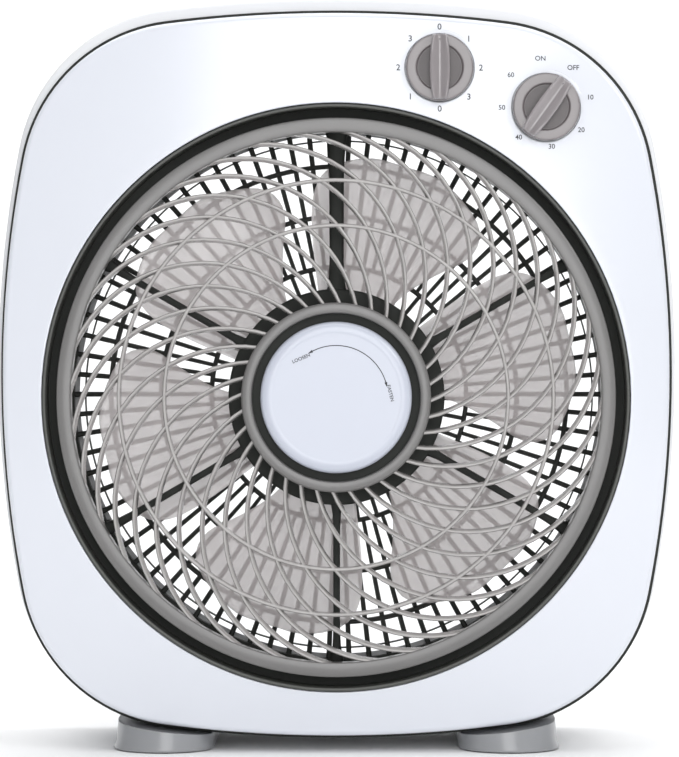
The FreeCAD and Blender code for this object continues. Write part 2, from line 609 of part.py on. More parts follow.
def make_spider():
    back = "duct_y"
    body = new_body("spider_body", "0", back, "fan_z")
    ring = new_sketch(body, "spider_ring_outline")
    circle(ring, "spider_inner")
    circle(ring, "duct_radius + duct_wall")
    pad(body, "spider_ring", ring, "spider_depth")
    strut = new_sketch(body, "strut_outline", offset="1")
    polygon(strut, strut_points("strut_root", "strut_mid", "strut_tip", "disc_radius - 3", "spider_inner + 3"))
    one = pad(body, "strut", strut, "strut_depth")
    pattern(body, "struts", [one], strut, "6")
    hub = new_sketch(body, "disc_outline", offset="spider_depth - disc_skirt")
    circle(hub, "disc_radius")
    pad(body, "hub_disc", hub, "disc_skirt")
    wide = new_sketch(body, "cable_strut_outline", offset="1")
    polygon(wide, strut_points("cable_strut_root", "cable_strut_root", "cable_strut_tip",
                               "disc_radius - 3", "spider_inner + 3"))
    pad(body, "cable_strut", wide, "strut_depth")
    lug = new_sketch(body, "lug_outline")
    polygon(lug, [("0 - lug_half_width", "duct_radius - 4"), ("lug_half_width", "duct_radius - 4"),
                  ("lug_half_width", "lug_end"), ("0 - lug_half_width", "lug_end")])
    pad(body, "lug", lug, "lug_thick")
    boss = new_sketch(body, "boss_outline", offset="spider_depth")
    circle(boss, "boss_radius")
    pad(body, "boss", boss, "boss_rise")
    holes = [rod("spider_motor_room", "motor_radius + 8", "disc_back", "40"),
             rod("spindle_seat", "spindle_radius", "spider_y - 10", "20"),
             post("lead_channel", "lead_radius + lead_room", "fan_z + motor_radius",
                  "spider_inner + 30 - motor_radius", "0", "lead_y")]
    holes += spider_screw_rods("spider_hole", "small_screw + screw_gap", "spider_y - 1", "spider_depth + 2")
    holes += spider_screw_rods("spider_seat", "small_head + 0.2", "spider_y - 1", "small_head_thick + 1.2")
    holes += bolt_rods("spider_bolt_hole", "bolt_radius + screw_gap", "spider_y - 5", "30")
    holes += bolt_rods("spider_bolt_seat", "bolt_head + 0.2", "spider_y - 5", "bolt_head_thick + 5")
    finished("front_spider", cut("front_spider", body, holes))
    finished("motor_lead", post("motor_lead", "lead_radius", "fan_z + motor_radius",
                                "terminal_start - motor_radius", "0", "lead_y"))
    finished("terminal_block", rounded("terminal_block", block(
        "terminal_raw", "2 * lug_half_width - 2", "terminal_depth", "terminal_height", "0",
        "duct_y - lug_thick - terminal_depth", "fan_z + terminal_start + terminal_height / 2"),
        "1", lambda edge: True))


derived_places["lead_y"] = "(duct_y - 1 - strut_depth / 2 + 1)"
derived_places["terminal_start"] = "(lug_end - terminal_height - 1)"


def bolt_rods(name, radius, start, length):
    return ring_of(name, 4, 45.0, lambda n, c, s: rod(
        n, radius, start, length, "bolt_circle * " + c, "fan_z + bolt_circle * " + s))


# ---------------------------------------------------------------- motor
def make_motor():
    holes = ["bolt_radius + screw_gap", "disc_back - 5", "stator_length + 2 * bracket_length + 20"]
    bore, shell = "bearing_radius", "bracket_wall"
    front = turned("front_bracket_raw", [
        ("disc_back", bore), ("stator_y - 1", bore), ("stator_y - 1", bore + " + " + shell),
        ("disc_back + " + shell, bore + " + " + shell), ("disc_back + " + shell, "stator_radius - 9"),
        ("stator_y", "stator_radius - 9"), ("stator_y", "motor_radius"), ("disc_back", "motor_radius")])
    finished("motor_front_bracket", cut("motor_front_bracket", front, bolt_rods("front_hole", *holes)))
    end, far = "(stator_y + stator_length)", "motor_back"
    rear = turned("rear_bracket_raw", [
        (end, "motor_radius"), (end, "stator_radius - 9"), (far + " - " + shell, "stator_radius - 9"),
        (far + " - " + shell, bore + " + " + shell), (end + " + 1", bore + " + " + shell),
        (end + " + 1", bore), (far, bore), (far, "motor_radius")])
    finished("motor_rear_bracket", cut("motor_rear_bracket", rear, bolt_rods("rear_hole", *holes)))
    ring = pipe("stator_raw", "stator_radius", "stator_bore", "stator_y", end)
    finished("motor_stator", cut("motor_stator", ring, bolt_rods("stator_hole", *holes)))
    windings = [pipe("front_winding", "coil_outer", "coil_inner", "stator_y - coil_overhang", "stator_y"),
                pipe("rear_winding", "coil_outer", "coil_inner", end, end + " + coil_overhang")]
    finished("motor_coils", join("motor_coils", windings))
    for label, start in (("front_bearing", "disc_back + 1"), ("rear_bearing", "motor_back - bearing_length - 1")):
        finished(label, pipe(label, "bearing_radius", "shaft_radius + running_gap", start,
                             start + " + bearing_length"))
    finished("rotor", pipe("rotor", "stator_bore - rotor_gap", "shaft_radius", "stator_y + rotor_short",
                           end + " - rotor_short"))
    shaft = rod("shaft_raw", "shaft_radius", "disc_back + 1", "shaft_length")
    finished("motor_shaft", cut("motor_shaft", shaft, [cross_pin("pin_hole_shaft")]))
    tail = "motor_back + 1"
    shanks = bolt_rods("bolt_shank", "bolt_radius", "spider_y + 1", tail + " - spider_y")
    heads = bolt_rods("bolt_top", "bolt_head", "spider_y", "bolt_head_thick")
    ends = ring_of("bolt_nut", 4, 45.0, lambda n, c, s: nut(
        n, "bolt_head", "motor_back", "bolt_head_thick", "bolt_circle * " + c, "fan_z + bolt_circle * " + s))
    finished("motor_bolts", join("motor_bolts", shanks + heads + ends))


def cross_pin(name):
    made = doc.addObject("Part::Cylinder", name)
    bind(made, "Radius", "pin_radius")
    bind(made, "Height", "pin_length")
    return put(made, "0 - pin_length / 2", "hub_back + hub_boss_length - pin_from_boss_end", "fan_z",
               Rotation(Vector(0, 1, 0), 90))


# ---------------------------------------------------------------- impeller
# one blade: share of the tip radius, and angle from the blade's own middle line
blade_outline = [(0.40, -26.0), (0.52, -22.5), (0.66, -25.2), (0.79, -28.6), (0.88, -27.4),
                 (0.95, -22.0), (0.985, -14.0), (1.0, -8.0), (1.0, 6.0), (0.985, 13.0),
                 (0.95, 18.6), (0.88, 22.6), (0.76, 24.6), (0.60, 25.4), (0.40, 26.0)]
# chord, pitch angle and share of the tip radius at three stations, root to tip
blade_stations = [(52.0, 38.0, 0.38), (104.0, 27.0, 0.72), (150.0, 19.0, 1.03)]


def make_impeller():
    lofts = new_body("blade_lofts")
    sections = []
    for i, (chord, pitch, share) in enumerate(blade_stations):
        section = new_sketch(lofts, "blade_section_%d" % i, "XY_Plane", "tip_radius * %g" % share)
        c, s = "cos(%g deg)" % pitch, "sin(%g deg)" % pitch
        corners = [("%s%g" % (sign_c, chord / 2), sign_t) for sign_c, sign_t in
                   (("0 - ", "0 - "), ("", "0 - "), ("", ""), ("0 - ", ""))]
        polygon(section, [("(%s) * %s - (%sblade_thick / 2) * %s" % (along, c, thick, s),
                           "(%s) * %s + (%sblade_thick / 2) * %s" % (along, s, thick, c))
                          for along, thick in corners])
        sections.append(section)
    loft = lofts.newObject("PartDesign::AdditiveLoft", "blade_loft")
    loft.Profile = sections[0]
    loft.Sections = sections[1:]
    lofts.Tip = loft
    axis_sketch = new_sketch(lofts, "blade_axis")
    circle(axis_sketch, "1")
    pattern(lofts, "blade_set", [loft], axis_sketch, "6")
    shapes = new_body("blade_shapes", "0", "60", "0")
    outline = new_sketch(shapes, "blade_front_view")
    polygon(outline, [("tip_radius * %g * cos(%g deg)" % (share, 90 + turn),
                       "tip_radius * %g * sin(%g deg)" % (share, 90 + turn))
                      for share, turn in blade_outline])
    one = pad(shapes, "blade_shape", outline, "120")
    pattern(shapes, "blade_shape_set", [one], outline, "6")
    blades = common("blades", lofts, shapes)
    hub = turned("hub_cup", [
        ("hub_length / -2", "hub_radius"), ("hub_length / 2", "hub_radius"), ("hub_length / 2", "shaft_radius"),
        ("hub_length / 2 - hub_wall", "shaft_radius"),
        ("hub_length / 2 - hub_wall", "hub_radius - hub_wall"), ("hub_length / -2", "hub_radius - hub_wall")],
        "0", "0")
    room = rod("hub_room", "hub_radius - hub_wall", "hub_length / -2 - 40", "hub_length + 40 - hub_wall", "0", "0")
    boss = pipe("hub_boss", "hub_boss_radius", "shaft_radius", "hub_length / 2 - 1",
                "hub_length / 2 + hub_boss_length", "0", "0")
    trimmed = cut("blades_trimmed", blades, [room])
    raw = join("impeller_raw", [hub, boss, trimmed])
    put(raw, "0", "hub_back - hub_length / 2", "fan_z",
        Rotation(Vector(0, 1, 0), -number("blade_turn")))
    finished("impeller", cut("impeller", raw, [cross_pin("pin_hole_hub")]))
    finished("drive_pin", cross_pin("drive_pin"))
    raw_nut = nut("impeller_nut_raw", "nut_flats", "hub_back + hub_boss_length", "nut_thick")
    bore = rod("impeller_nut_bore", "shaft_radius", "hub_back", "40")
    finished("impeller_nut", cut("impeller_nut", raw_nut, [bore]))


# ---------------------------------------------------------------- rear grille
def slat_window(near, far, near_slat, far_slat, turn, pitch):
    """The gap between one radial slat and the next, from one hoop to the next."""
    def corner(reach, slat, side):
        angle = math.radians(90 + (turn + side * 0.5) * pitch) - side * math.asin(slat / 2 / reach)
        return Vector(reach * math.cos(angle), reach * math.sin(angle), 0)
    right_near, right_far = corner(near, near_slat, -1), corner(far, far_slat, -1)
    left_far, left_near = corner(far, far_slat, 1), corner(near, near_slat, 1)
    return [Part.LineSegment(right_near, right_far).toShape(), arc_between(right_far, left_far, Vector()),
            Part.LineSegment(left_far, left_near).toShape(), arc_between(left_near, right_near, Vector())]


def make_rear_grille():
    half = number("rear_hoop_width / 2")
    hoops = [number("rear_hoop_%d" % i) for i in (1, 2, 3)]
    rim = number("rear_rim_inner")
    slats = int(number("slat_count"))

    def slat_at(reach):
        share = (reach - hoops[0]) / (rim - hoops[0])
        return number("slat_inner") + number("slat_outer - slat_inner") * share
    windows = []
    for near, far in ((hoops[0] + half, hoops[1] - half), (hoops[1] + half, hoops[2] - half),
                      (hoops[2] + half, rim)):
        windows += [slat_window(near, far, slat_at(near), slat_at(far), turn, 360.0 / slats)
                    for turn in range(slats)]
    centre_slat = number("slat_centre")
    windows += [slat_window(number("rear_disc"), hoops[0] - half, centre_slat, centre_slat, turn, 720.0 / slats)
                for turn in range(slats // 2)]
    flat = lattice("slats", number("duct_radius - rear_rim_gap"), 0, windows,
                   "rear_wall - rear_depth", "rear_depth")
    ring = pipe("rear_rim", "duct_radius - rear_rim_gap", "rear_rim_inner", "rear_wall - rear_rim_depth", "rear_wall")
    ears = join("rear_ears_round", rear_screws("rear_ear", "rear_ear_radius", "rear_wall - rear_rim_depth",
                                              "rear_rim_depth"))
    ears = common("rear_ears", ears, rod("rear_ear_limit", "duct_radius - rear_rim_gap",
                                         "rear_wall - rear_rim_depth", "rear_rim_depth"))
    holes = rear_screws("rear_grille_hole", "small_screw + screw_gap", "rear_wall - small_bite", "small_bite + 2")
    finished("rear_grille", cut("rear_grille", join("rear_grille_whole", [flat, ring, ears]), holes))


# ---------------------------------------------------------------- knobs and controls
def make_control(name, across, up, width, depth, rest):
    floor = "cup_y - 0.8"
    face = "front_y - knob_rise"
    disc = turned(name + "_disc", [
        (floor, "0"), (floor, "knob_radius"), (face + " + 0.8", "knob_radius"), (face, "knob_radius - 0.8"),
        (face, "knob_dish"), (face + " + dish_depth", "knob_dish - 0.6"), (face + " + dish_depth", "0")],
        across, up)
    half = "grip_half_width"
    grip = new_body(name + "_grip", across, floor, up, Rotation(Vector(0, 1, 0), rest))
    bar = new_sketch(grip, name + "_grip_outline")
    reach, narrow = "(knob_radius - 0.9)", "(%s * 0.7)" % half
    polygon(bar, [("0 - " + narrow, "0 - " + reach), (narrow, "0 - " + reach), (half, "0 - reach_mid"),
                  (half, "reach_mid"), (narrow, reach), ("0 - " + narrow, reach),
                  ("0 - " + half, "reach_mid"), ("0 - " + half, "0 - reach_mid")])
    pad(grip, name + "_grip_pad", bar, "%s - front_y + knob_projection" % floor)
    whole = join(name + "_knob_whole", [disc, grip])
    bore = rod(name + "_knob_bore", "spindle_small", "front_y - knob_projection + knob_cap_wall", "60", across, up)
    finished(name + "_knob", cut(name + "_knob", whole, [bore]))
    start = "front_y - knob_projection + knob_cap_wall"
    finished(name + "_shaft", rod(name + "_shaft", "spindle_small", start,
                                  "switch_y + control_shaft_engage - (%s)" % start, across, up))
    case = rounded(name + "_case", block(name + "_case_raw", width, depth, width, across, "switch_y", up),
                   "2", lambda edge: True)
    neck = rod(name + "_neck", "bushing_radius", "cup_y", "cup_floor_thick + 1", across, up)
    hole = rod(name + "_neck_bore", "spindle_small + running_gap", "cup_y - 5",
               "control_shaft_engage + 8 + cup_floor_thick", across, up)
    label = "speed_switch" if name == "speed" else "timer"
    finished(label, cut(label, join(name + "_case_whole", [case, neck]), [hole]))


derived_places["reach_mid"] = "(knob_radius * 0.45)"


def make_controls():
    for (name, across, up), width, depth, rest in zip(
            control_places(), ("switch_width", "timer_width"), ("switch_depth", "timer_depth"),
            (0.0, number("timer_rest"))):
        make_control(name, across, up, width, depth, rest)


# ---------------------------------------------------------------- screws
def screw_set(label, shanks, heads):
    finished(label, join(label, shanks + heads))


def make_screws():
    level = "front_y + cover_depth"
    shanks = [rod("long_shank_%d" % i, "long_screw", level + " - long_screw_bite",
                  "long_screw_bite + well_floor + 1", across, up)
              for i, (across, up) in enumerate(corner_places())]
    heads = [rod("long_head_%d" % i, "long_head", level + " + well_floor", "long_head_thick", across, up)
             for i, (across, up) in enumerate(corner_places())]
    screw_set("housing_screws", shanks, heads)
    screw_set("rear_grille_screws",
              rear_screws("rear_shank", "small_screw", "rear_wall - small_bite", "small_bite + 1"),
              rear_screws("rear_head", "small_head", "back_y - small_head_thick", "small_head_thick"))
    screw_set("spider_screws",
              spider_screw_rods("spider_shank", "small_screw", "spider_y + 1", "spider_depth + flange_thick - 1"),
              spider_screw_rods("spider_head", "small_head", "spider_y + 0.2", "small_head_thick"))
    shanks = [post("foot_shank_%d" % i, "long_screw", "foot_lift + 2", "foot_screw_length + 5", across, deep)
              for i, (across, deep) in enumerate(foot_screw_places())]
    heads = [post("foot_head_%d" % i, "long_head", "foot_lift + 0.5", "long_head_thick", across, deep)
             for i, (across, deep) in enumerate(foot_screw_places())]
    screw_set("foot_screws", shanks, heads)


# ---------------------------------------------------------------- feet
def pad_places(side):
    return [("%s * (foot_inner + foot_outer) / 2" % side, "front_y + foot_start + " + deep)
            for deep in ("pad_inset", "foot_length - pad_inset")]


def make_foot(label, side, sign, outer):
    body = new_body(label + "_body", "0", "front_y + foot_start + foot_length", "0")
    outline = new_sketch(body, label + "_outline")
    polygon(outline, [("%s * foot_inner" % sign, "foot_lift"), ("%s * foot_outer" % sign, "foot_lift"),
                      ("%s * (foot_outer - foot_lean)" % sign, "foot_top"),
                      ("%s * foot_inner" % sign, "foot_top")])
    pad(body, label + "_pad", outline, "foot_length")
    doc.recompute()
    lowest = number("foot_lift")
    softened = rounded(label + "_soft", body, "foot_round",
                       lambda edge: min(v.Z for v in edge.Vertexes) < lowest + 0.01
                       and max(v.Z for v in edge.Vertexes) > lowest + 0.01
                       or all(abs(v.Z - lowest) < 0.01 for v in edge.Vertexes))
    # seen from above, the front of a foot is a half circle
    middle = "%s * (foot_inner + foot_outer) / 2" % sign
    half = "(foot_outer - foot_inner) / 2"
    plan = join(label + "_plan", [
        post(label + "_nose", half, "0", "foot_top", middle, "front_y + foot_start + " + half),
        block(label + "_tail", "foot_outer - foot_inner + 2", "foot_length", "2 * foot_top", middle,
              "front_y + foot_start + " + half, "0")])
    softened = common(label + "_shaped", softened, plan)
    tools = [outer, shell_slab(label + "_cover_room", "(0 - foot_clearance)", "front_y - 5", "shell_y")]
    for i, (across, deep) in enumerate(pad_places(sign)):
        tools.append(post("%s_pad_room_%d" % (label, i), "pad_radius + 0.1", "foot_lift - 1",
                          "pad_recess + 1", across, deep))
    for i, (across, deep) in enumerate(foot_screw_places()):
        if across.startswith(sign + " "):
            tools.append(post("%s_hole_%d" % (label, i), "long_screw + screw_gap", "0", "30", across, deep))
            tools.append(post("%s_seat_%d" % (label, i), "long_head + 0.2", "0",
                              "foot_lift + 0.5 + long_head_thick", across, deep))
    finished(label, cut(label, softened, tools))
    return [post("%s_rubber_%d" % (label, i), "pad_radius", "0", "foot_lift + pad_recess", across, deep)
            for i, (across, deep) in enumerate(pad_places(sign))]


def make_feet(outer):
    rubbers = make_foot("foot_left", "left", "(0 - 1)", outer) + make_foot("foot_right", "right", "1", outer)
    finished("foot_pads", rounded("foot_pads", join("foot_pads_raw", rubbers), "0.6",
                                  lambda edge: edge.BoundBox.ZMax < 0.01))


# ---------------------------------------------------------------- inlet and capacitor
def make_electrics():
    flange = rod("gland_flange_disc", "gland_flange", "rear_wall + 1", "wall - 1", "gland_x", "gland_z")
    stem = rod("gland_stem", "gland_body", "back_y - gland_length", "gland_length - 0.5", "gland_x", "gland_z")
    bore = rod("gland_bore_room", "gland_bore", "back_y - gland_length - 1", "gland_length + 3",
               "gland_x", "gland_z")
    finished("cord_gland", cut("cord_gland", join("gland_whole", [flange, stem]), [bore]))
    ring = nut("gland_nut_raw", "gland_nut_flats", "rear_wall - gland_nut_thick", "gland_nut_thick",
               "gland_x", "gland_z")
    hole = rod("gland_nut_bore", "gland_body", "rear_wall - 20", "30", "gland_x", "gland_z")
    finished("gland_nut", cut("gland_nut", ring, [hole]))
    finished("capacitor", rounded("capacitor", block(
        "capacitor_raw", "capacitor_width", "capacitor_depth", "capacitor_height", "capacitor_x",
        "rear_wall - capacitor_depth", "plate_z + capacitor_z"), "2", lambda edge: True))


def check_and_export():
    doc.recompute()
    for thing in doc.Objects:
        if "Invalid" in thing.State or "Error" in thing.State:
            raise RuntimeError("%s: %s" % (thing.Name, thing.State))
    for label, thing in nodes.items():
        if thing.Shape.isNull() or not thing.Shape.isValid() or not thing.Shape.Solids:
            raise RuntimeError(label + " has no valid solid")
    os.makedirs("parts", exist_ok=True)
    for label, thing in nodes.items():
        thing.Shape.exportStep("parts/%s.step" % label)
        box = thing.Shape.BoundBox
        print("%-20s solids %2d volume %10.0f  x %6.1f %6.1f  y %6.1f %6.1f  z %6.1f %6.1f" % (
            label, len(thing.Shape.Solids), thing.Shape.Volume, box.XMin, box.XMax, box.YMin, box.YMax,
            box.ZMin, box.ZMax))


make_front_cover()
shell_solid = shell_outer()
make_rear_shell(shell_solid)
make_seam_trim()
make_bezel_and_duct()
make_turning_grille()
make_lock()
make_spider()
make_motor()
make_impeller()
make_rear_grille()
make_controls()
make_screws()
make_feet(shell_solid)
make_electrics()
check_and_export()
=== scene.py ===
import math
import bpy
import bmesh
from mathutils import Matrix, Vector


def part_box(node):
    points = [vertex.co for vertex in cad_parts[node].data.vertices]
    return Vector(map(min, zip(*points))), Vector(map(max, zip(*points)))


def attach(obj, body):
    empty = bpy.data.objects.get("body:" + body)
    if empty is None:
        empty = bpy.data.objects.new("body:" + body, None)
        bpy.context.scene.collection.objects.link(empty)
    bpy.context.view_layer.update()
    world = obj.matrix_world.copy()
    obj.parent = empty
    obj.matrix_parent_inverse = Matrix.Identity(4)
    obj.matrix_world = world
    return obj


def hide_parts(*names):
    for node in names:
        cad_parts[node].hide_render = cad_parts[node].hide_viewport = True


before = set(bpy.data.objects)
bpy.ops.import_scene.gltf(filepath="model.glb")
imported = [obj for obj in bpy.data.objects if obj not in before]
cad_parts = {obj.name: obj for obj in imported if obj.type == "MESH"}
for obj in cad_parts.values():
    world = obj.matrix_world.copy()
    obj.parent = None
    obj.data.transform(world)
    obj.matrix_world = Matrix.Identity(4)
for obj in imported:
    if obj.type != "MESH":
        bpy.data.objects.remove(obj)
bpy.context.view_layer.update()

# Box fan, its front towards -Y. Sizes in the dictionaries are millimetres, and mm makes them metres.
mm = 0.001
coverLow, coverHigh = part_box("front_cover")
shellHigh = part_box("rear_shell")[1]
grilleLow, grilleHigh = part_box("rotating_grille")
spiderLow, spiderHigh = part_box("front_spider")
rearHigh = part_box("rear_grille")[1]
plateZ = (coverLow.z + coverHigh.z) / 2
fanZ = (grilleLow.z + grilleHigh.z) / 2
fanCentre = Vector((0.0, 0.0, fanZ))
body = dict(depth=152.0, coverDepth=25.0)
frontY = shellHigh.y - body["depth"] * mm   # the cover's reference plane
coverBack = frontY + body["coverDepth"] * mm
backY = shellHigh.y
print("frame loaded:", len(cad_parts), "nodes")


# modelling helpers, each a few operators in edit mode
def deselect():
    if bpy.context.object and bpy.context.object.mode != "OBJECT":
        bpy.ops.object.mode_set(mode="OBJECT")
    bpy.ops.object.select_all(action="DESELECT")


def pickOnly(piece):
    deselect()
    bpy.context.view_layer.objects.active = piece
    piece.select_set(True)


# a new piece that is a single vertex, left in edit mode
def startPoint(name, place):
    deselect()
    bpy.ops.mesh.primitive_plane_add(size=0.01)
    piece = bpy.context.object
    piece.name = piece.data.name = name
    bpy.ops.object.mode_set(mode="EDIT")
    bpy.ops.mesh.select_all(action="SELECT")
    bpy.ops.mesh.merge(type="CENTER")
    bpy.ops.transform.translate(value=place)
    return piece


# extrude the selected vertex along the rest of a profile
def drawProfile(points):
    for here, there in zip(points, points[1:]):
        bpy.ops.mesh.extrude_region_move(TRANSFORM_OT_translate={"value": Vector(there) - Vector(here)})


def tidyMesh():
    bpy.ops.mesh.select_all(action="SELECT")
    bpy.ops.mesh.remove_doubles(threshold=0.000001)
    bpy.ops.mesh.normals_make_consistent(inside=False)
    bpy.ops.object.mode_set(mode="OBJECT")


# lathe a closed profile of (y, radius) about an axis along Y
def turnProfile(name, profile, centre=fanCentre, steps=128):
    points = [Vector((centre.x + radius, y, centre.z)) for y, radius in profile]
    piece = startPoint(name, points[0])
    onAxis = profile[0][1] == 0 and profile[-1][1] == 0
    drawProfile(points if onAxis else points + points[:1])
    bpy.ops.mesh.select_all(action="SELECT")
    bpy.ops.mesh.spin(steps=steps, angle=math.tau, center=centre, axis=(0, 1, 0))
    tidyMesh()
    return piece


def selectedVerts(piece):
    mesh = bmesh.from_edit_mesh(piece.data)
    return mesh, sorted((v for v in mesh.verts if v.select), key=lambda v: v.index)


# extrude one loop of points into the next. A closed loft ends where it began
def loftLoops(name, loops, closed=True):
    deselect()
    bpy.ops.mesh.primitive_circle_add(vertices=len(loops[0]), radius=0.1)
    piece = bpy.context.object
    piece.name = piece.data.name = name
    bpy.ops.object.mode_set(mode="EDIT")
    bpy.ops.mesh.select_all(action="SELECT")
    following = loops[1:] + (loops[:1] if closed else [])
    for step, loop in enumerate([loops[0]] + following):
        if step:
            bpy.ops.mesh.extrude_edges_move(TRANSFORM_OT_translate={"value": (0, 0, 0)})
        mesh, verts = selectedVerts(piece)
        for vert, place in zip(verts, loop):
            vert.co = place
        bmesh.update_edit_mesh(piece.data)
    if not closed:
        bpy.ops.mesh.edge_face_add()
        bpy.ops.mesh.select_all(action="DESELECT")
        mesh = bmesh.from_edit_mesh(piece.data)
        mesh.verts.ensure_lookup_table()
        for vert in mesh.verts[:len(loops[0])]:
            vert.select = True
        mesh.select_flush(True)
        bmesh.update_edit_mesh(piece.data)
        bpy.ops.mesh.edge_face_add()
    tidyMesh()
    return piece


# extrude a section of points through stations of (offset, width scale, depth scale)
def barFrom(name, section, stations):
    deselect()
    bpy.ops.mesh.primitive_circle_add(vertices=len(section), radius=0.01, fill_type="NGON")
    piece = bpy.context.object
    piece.name = piece.data.name = name
    bpy.ops.object.mode_set(mode="EDIT")
    bpy.ops.mesh.select_all(action="SELECT")
    for step, station in enumerate(stations):
        if step:
            bpy.ops.mesh.extrude_region_move(TRANSFORM_OT_translate={"value": (0, 0, 0)})
        mesh, verts = selectedVerts(piece)
        for vert, point in zip(verts, section):
            vert.co = station(point)
        bmesh.update_edit_mesh(piece.data)
    tidyMesh()
    return piece


# copy the whole mesh round an axis along Y, count in all
def repeatRound(piece, count, centre=fanCentre):
    pickOnly(piece)
    bpy.ops.object.mode_set(mode="EDIT")
    bpy.ops.mesh.select_all(action="SELECT")
    bpy.ops.mesh.spin(steps=count - 1, angle=math.tau * (count - 1) / count, dupli=True,
                      center=centre, axis=(0, 1, 0))
    bpy.ops.object.mode_set(mode="OBJECT")


# turn a mesh counter-clockwise, seen from the front, about an axis along Y
def turnPiece(piece, degrees, centre=fanCentre):
    place = Matrix.Translation(centre) @ Matrix.Rotation(-math.radians(degrees), 4, "Y") \
        @ Matrix.Translation(-centre)
    piece.data.transform(place)


def joinPieces(name, pieces):
    deselect()
    for piece in pieces:
        piece.select_set(True)
    bpy.context.view_layer.objects.active = pieces[0]
    if len(pieces) > 1:
        bpy.ops.object.join()
    pieces[0].name = pieces[0].data.name = name
    return pieces[0]


# round the sharp edges, then shade smooth up to an angle
def softenEdges(piece, width, segments=2, limit=35, smooth=40):
    pickOnly(piece)
    if width:
        bevel = piece.modifiers.new("softEdge", "BEVEL")
        bevel.width = width * mm
        bevel.segments = segments
        bevel.limit_method = "ANGLE"
        bevel.angle_limit = math.radians(limit)
        bevel.use_clamp_overlap = True
        bpy.ops.object.modifier_apply(modifier=bevel.name)
    bpy.ops.object.shade_smooth_by_angle(angle=math.radians(smooth))
    # keeps broad faces flat beside small rounds
    even = piece.modifiers.new("evenNormals", "WEIGHTED_NORMAL")
    even.keep_sharp = True
    bpy.ops.object.modifier_apply(modifier=even.name)
    return piece


# boolean difference, and the cutters are deleted
def cutAway(piece, cutters):
    tool = joinPieces("cutter", cutters)
    pickOnly(piece)
    cut = piece.modifiers.new("cut", "BOOLEAN")
    cut.operation = "DIFFERENCE"
    cut.solver = "EXACT"
    cut.object = tool
    bpy.ops.object.modifier_apply(modifier=cut.name)
    bpy.data.objects.remove(tool)
    return piece


# a plain cylinder along Y, only ever used to cut
def drillRod(radius, front, back, x, z, steps=64):
    deselect()
    bpy.ops.mesh.primitive_cylinder_add(vertices=steps, radius=radius, depth=back - front,
                                        location=(x, (front + back) / 2, z), rotation=(math.pi / 2, 0, 0))
    bpy.ops.object.transform_apply(location=True, rotation=True, scale=True)
    return bpy.context.object


# give a finished piece its material and body, and hide the nodes that it stands for
def settle(piece, body, slot, material, *nodes):
    piece.data.materials.clear()
    piece.data.materials.append(material)
    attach(piece, body)
    if nodes:
        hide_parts(*nodes)
    return piece


# materials: moulded plastics and metals, all on object coordinates
def linkNoise(nodes, links, coords, scale, detail, roughness=0.5):
    noise = nodes.new("ShaderNodeTexNoise")
    noise.inputs["Scale"].default_value = scale
    noise.inputs["Detail"].default_value = detail
    noise.inputs["Roughness"].default_value = roughness
    links.new(coords, noise.inputs["Vector"])
    return noise.outputs["Fac"]


def colourRamp(nodes, links, source, dark, light, low=0.3, high=0.7):
    ramp = nodes.new("ShaderNodeValToRGB")
    ramp.color_ramp.elements[0].position = low
    ramp.color_ramp.elements[1].position = high
    ramp.color_ramp.elements[0].color = (*dark, 1)
    ramp.color_ramp.elements[1].color = (*light, 1)
    links.new(source, ramp.inputs["Fac"])
    return ramp.outputs["Color"]


# a Principled finish: mottled colour, uneven gloss and a fine grain
def makeFinish(name, look):
    material = bpy.data.materials.new(name)
    material.use_nodes = True
    nodes, links = material.node_tree.nodes, material.node_tree.links
    shader = nodes["Principled BSDF"]
    coords = nodes.new("ShaderNodeTexCoord").outputs["Object"]
    if look.get("brushed"):
        stretch = nodes.new("ShaderNodeMapping")
        stretch.inputs["Scale"].default_value = look["brushed"]
        links.new(coords, stretch.inputs["Vector"])
        coords = stretch.outputs["Vector"]
    colour, spread = look["colour"], look.get("spread", 0.04)
    dark = [channel * (1 - spread) for channel in colour]
    light = [min(1, channel * (1 + spread)) for channel in colour]
    mottle = linkNoise(nodes, links, coords, look.get("mottle", 22), 3)
    links.new(colourRamp(nodes, links, mottle, dark, light), shader.inputs["Base Color"])
    gloss = nodes.new("ShaderNodeMapRange")
    gloss.inputs["To Min"].default_value = look["rough"] - look.get("roughSpread", 0.04)
    gloss.inputs["To Max"].default_value = look["rough"] + look.get("roughSpread", 0.04)
    links.new(linkNoise(nodes, links, coords, look.get("mottle", 22) * 4, 4), gloss.inputs["Value"])
    links.new(gloss.outputs["Result"], shader.inputs["Roughness"])
    grain = linkNoise(nodes, links, coords, look.get("grain", 2500), 2)
    bump = nodes.new("ShaderNodeBump")
    bump.inputs["Strength"].default_value = look.get("bump", 0.08)
    bump.inputs["Distance"].default_value = 0.0001
    links.new(grain, bump.inputs["Height"])
    links.new(bump.outputs["Normal"], shader.inputs["Normal"])
    shader.inputs["Metallic"].default_value = look.get("metal", 0.0)
    shader.inputs["IOR"].default_value = look.get("ior", 1.46)
    shader.inputs["Coat Weight"].default_value = look.get("coat", 0.0)
    shader.inputs["Coat Roughness"].default_value = look.get("coatRough", 0.1)
    shader.inputs["Alpha"].default_value = look.get("alpha", 1.0)
    return material


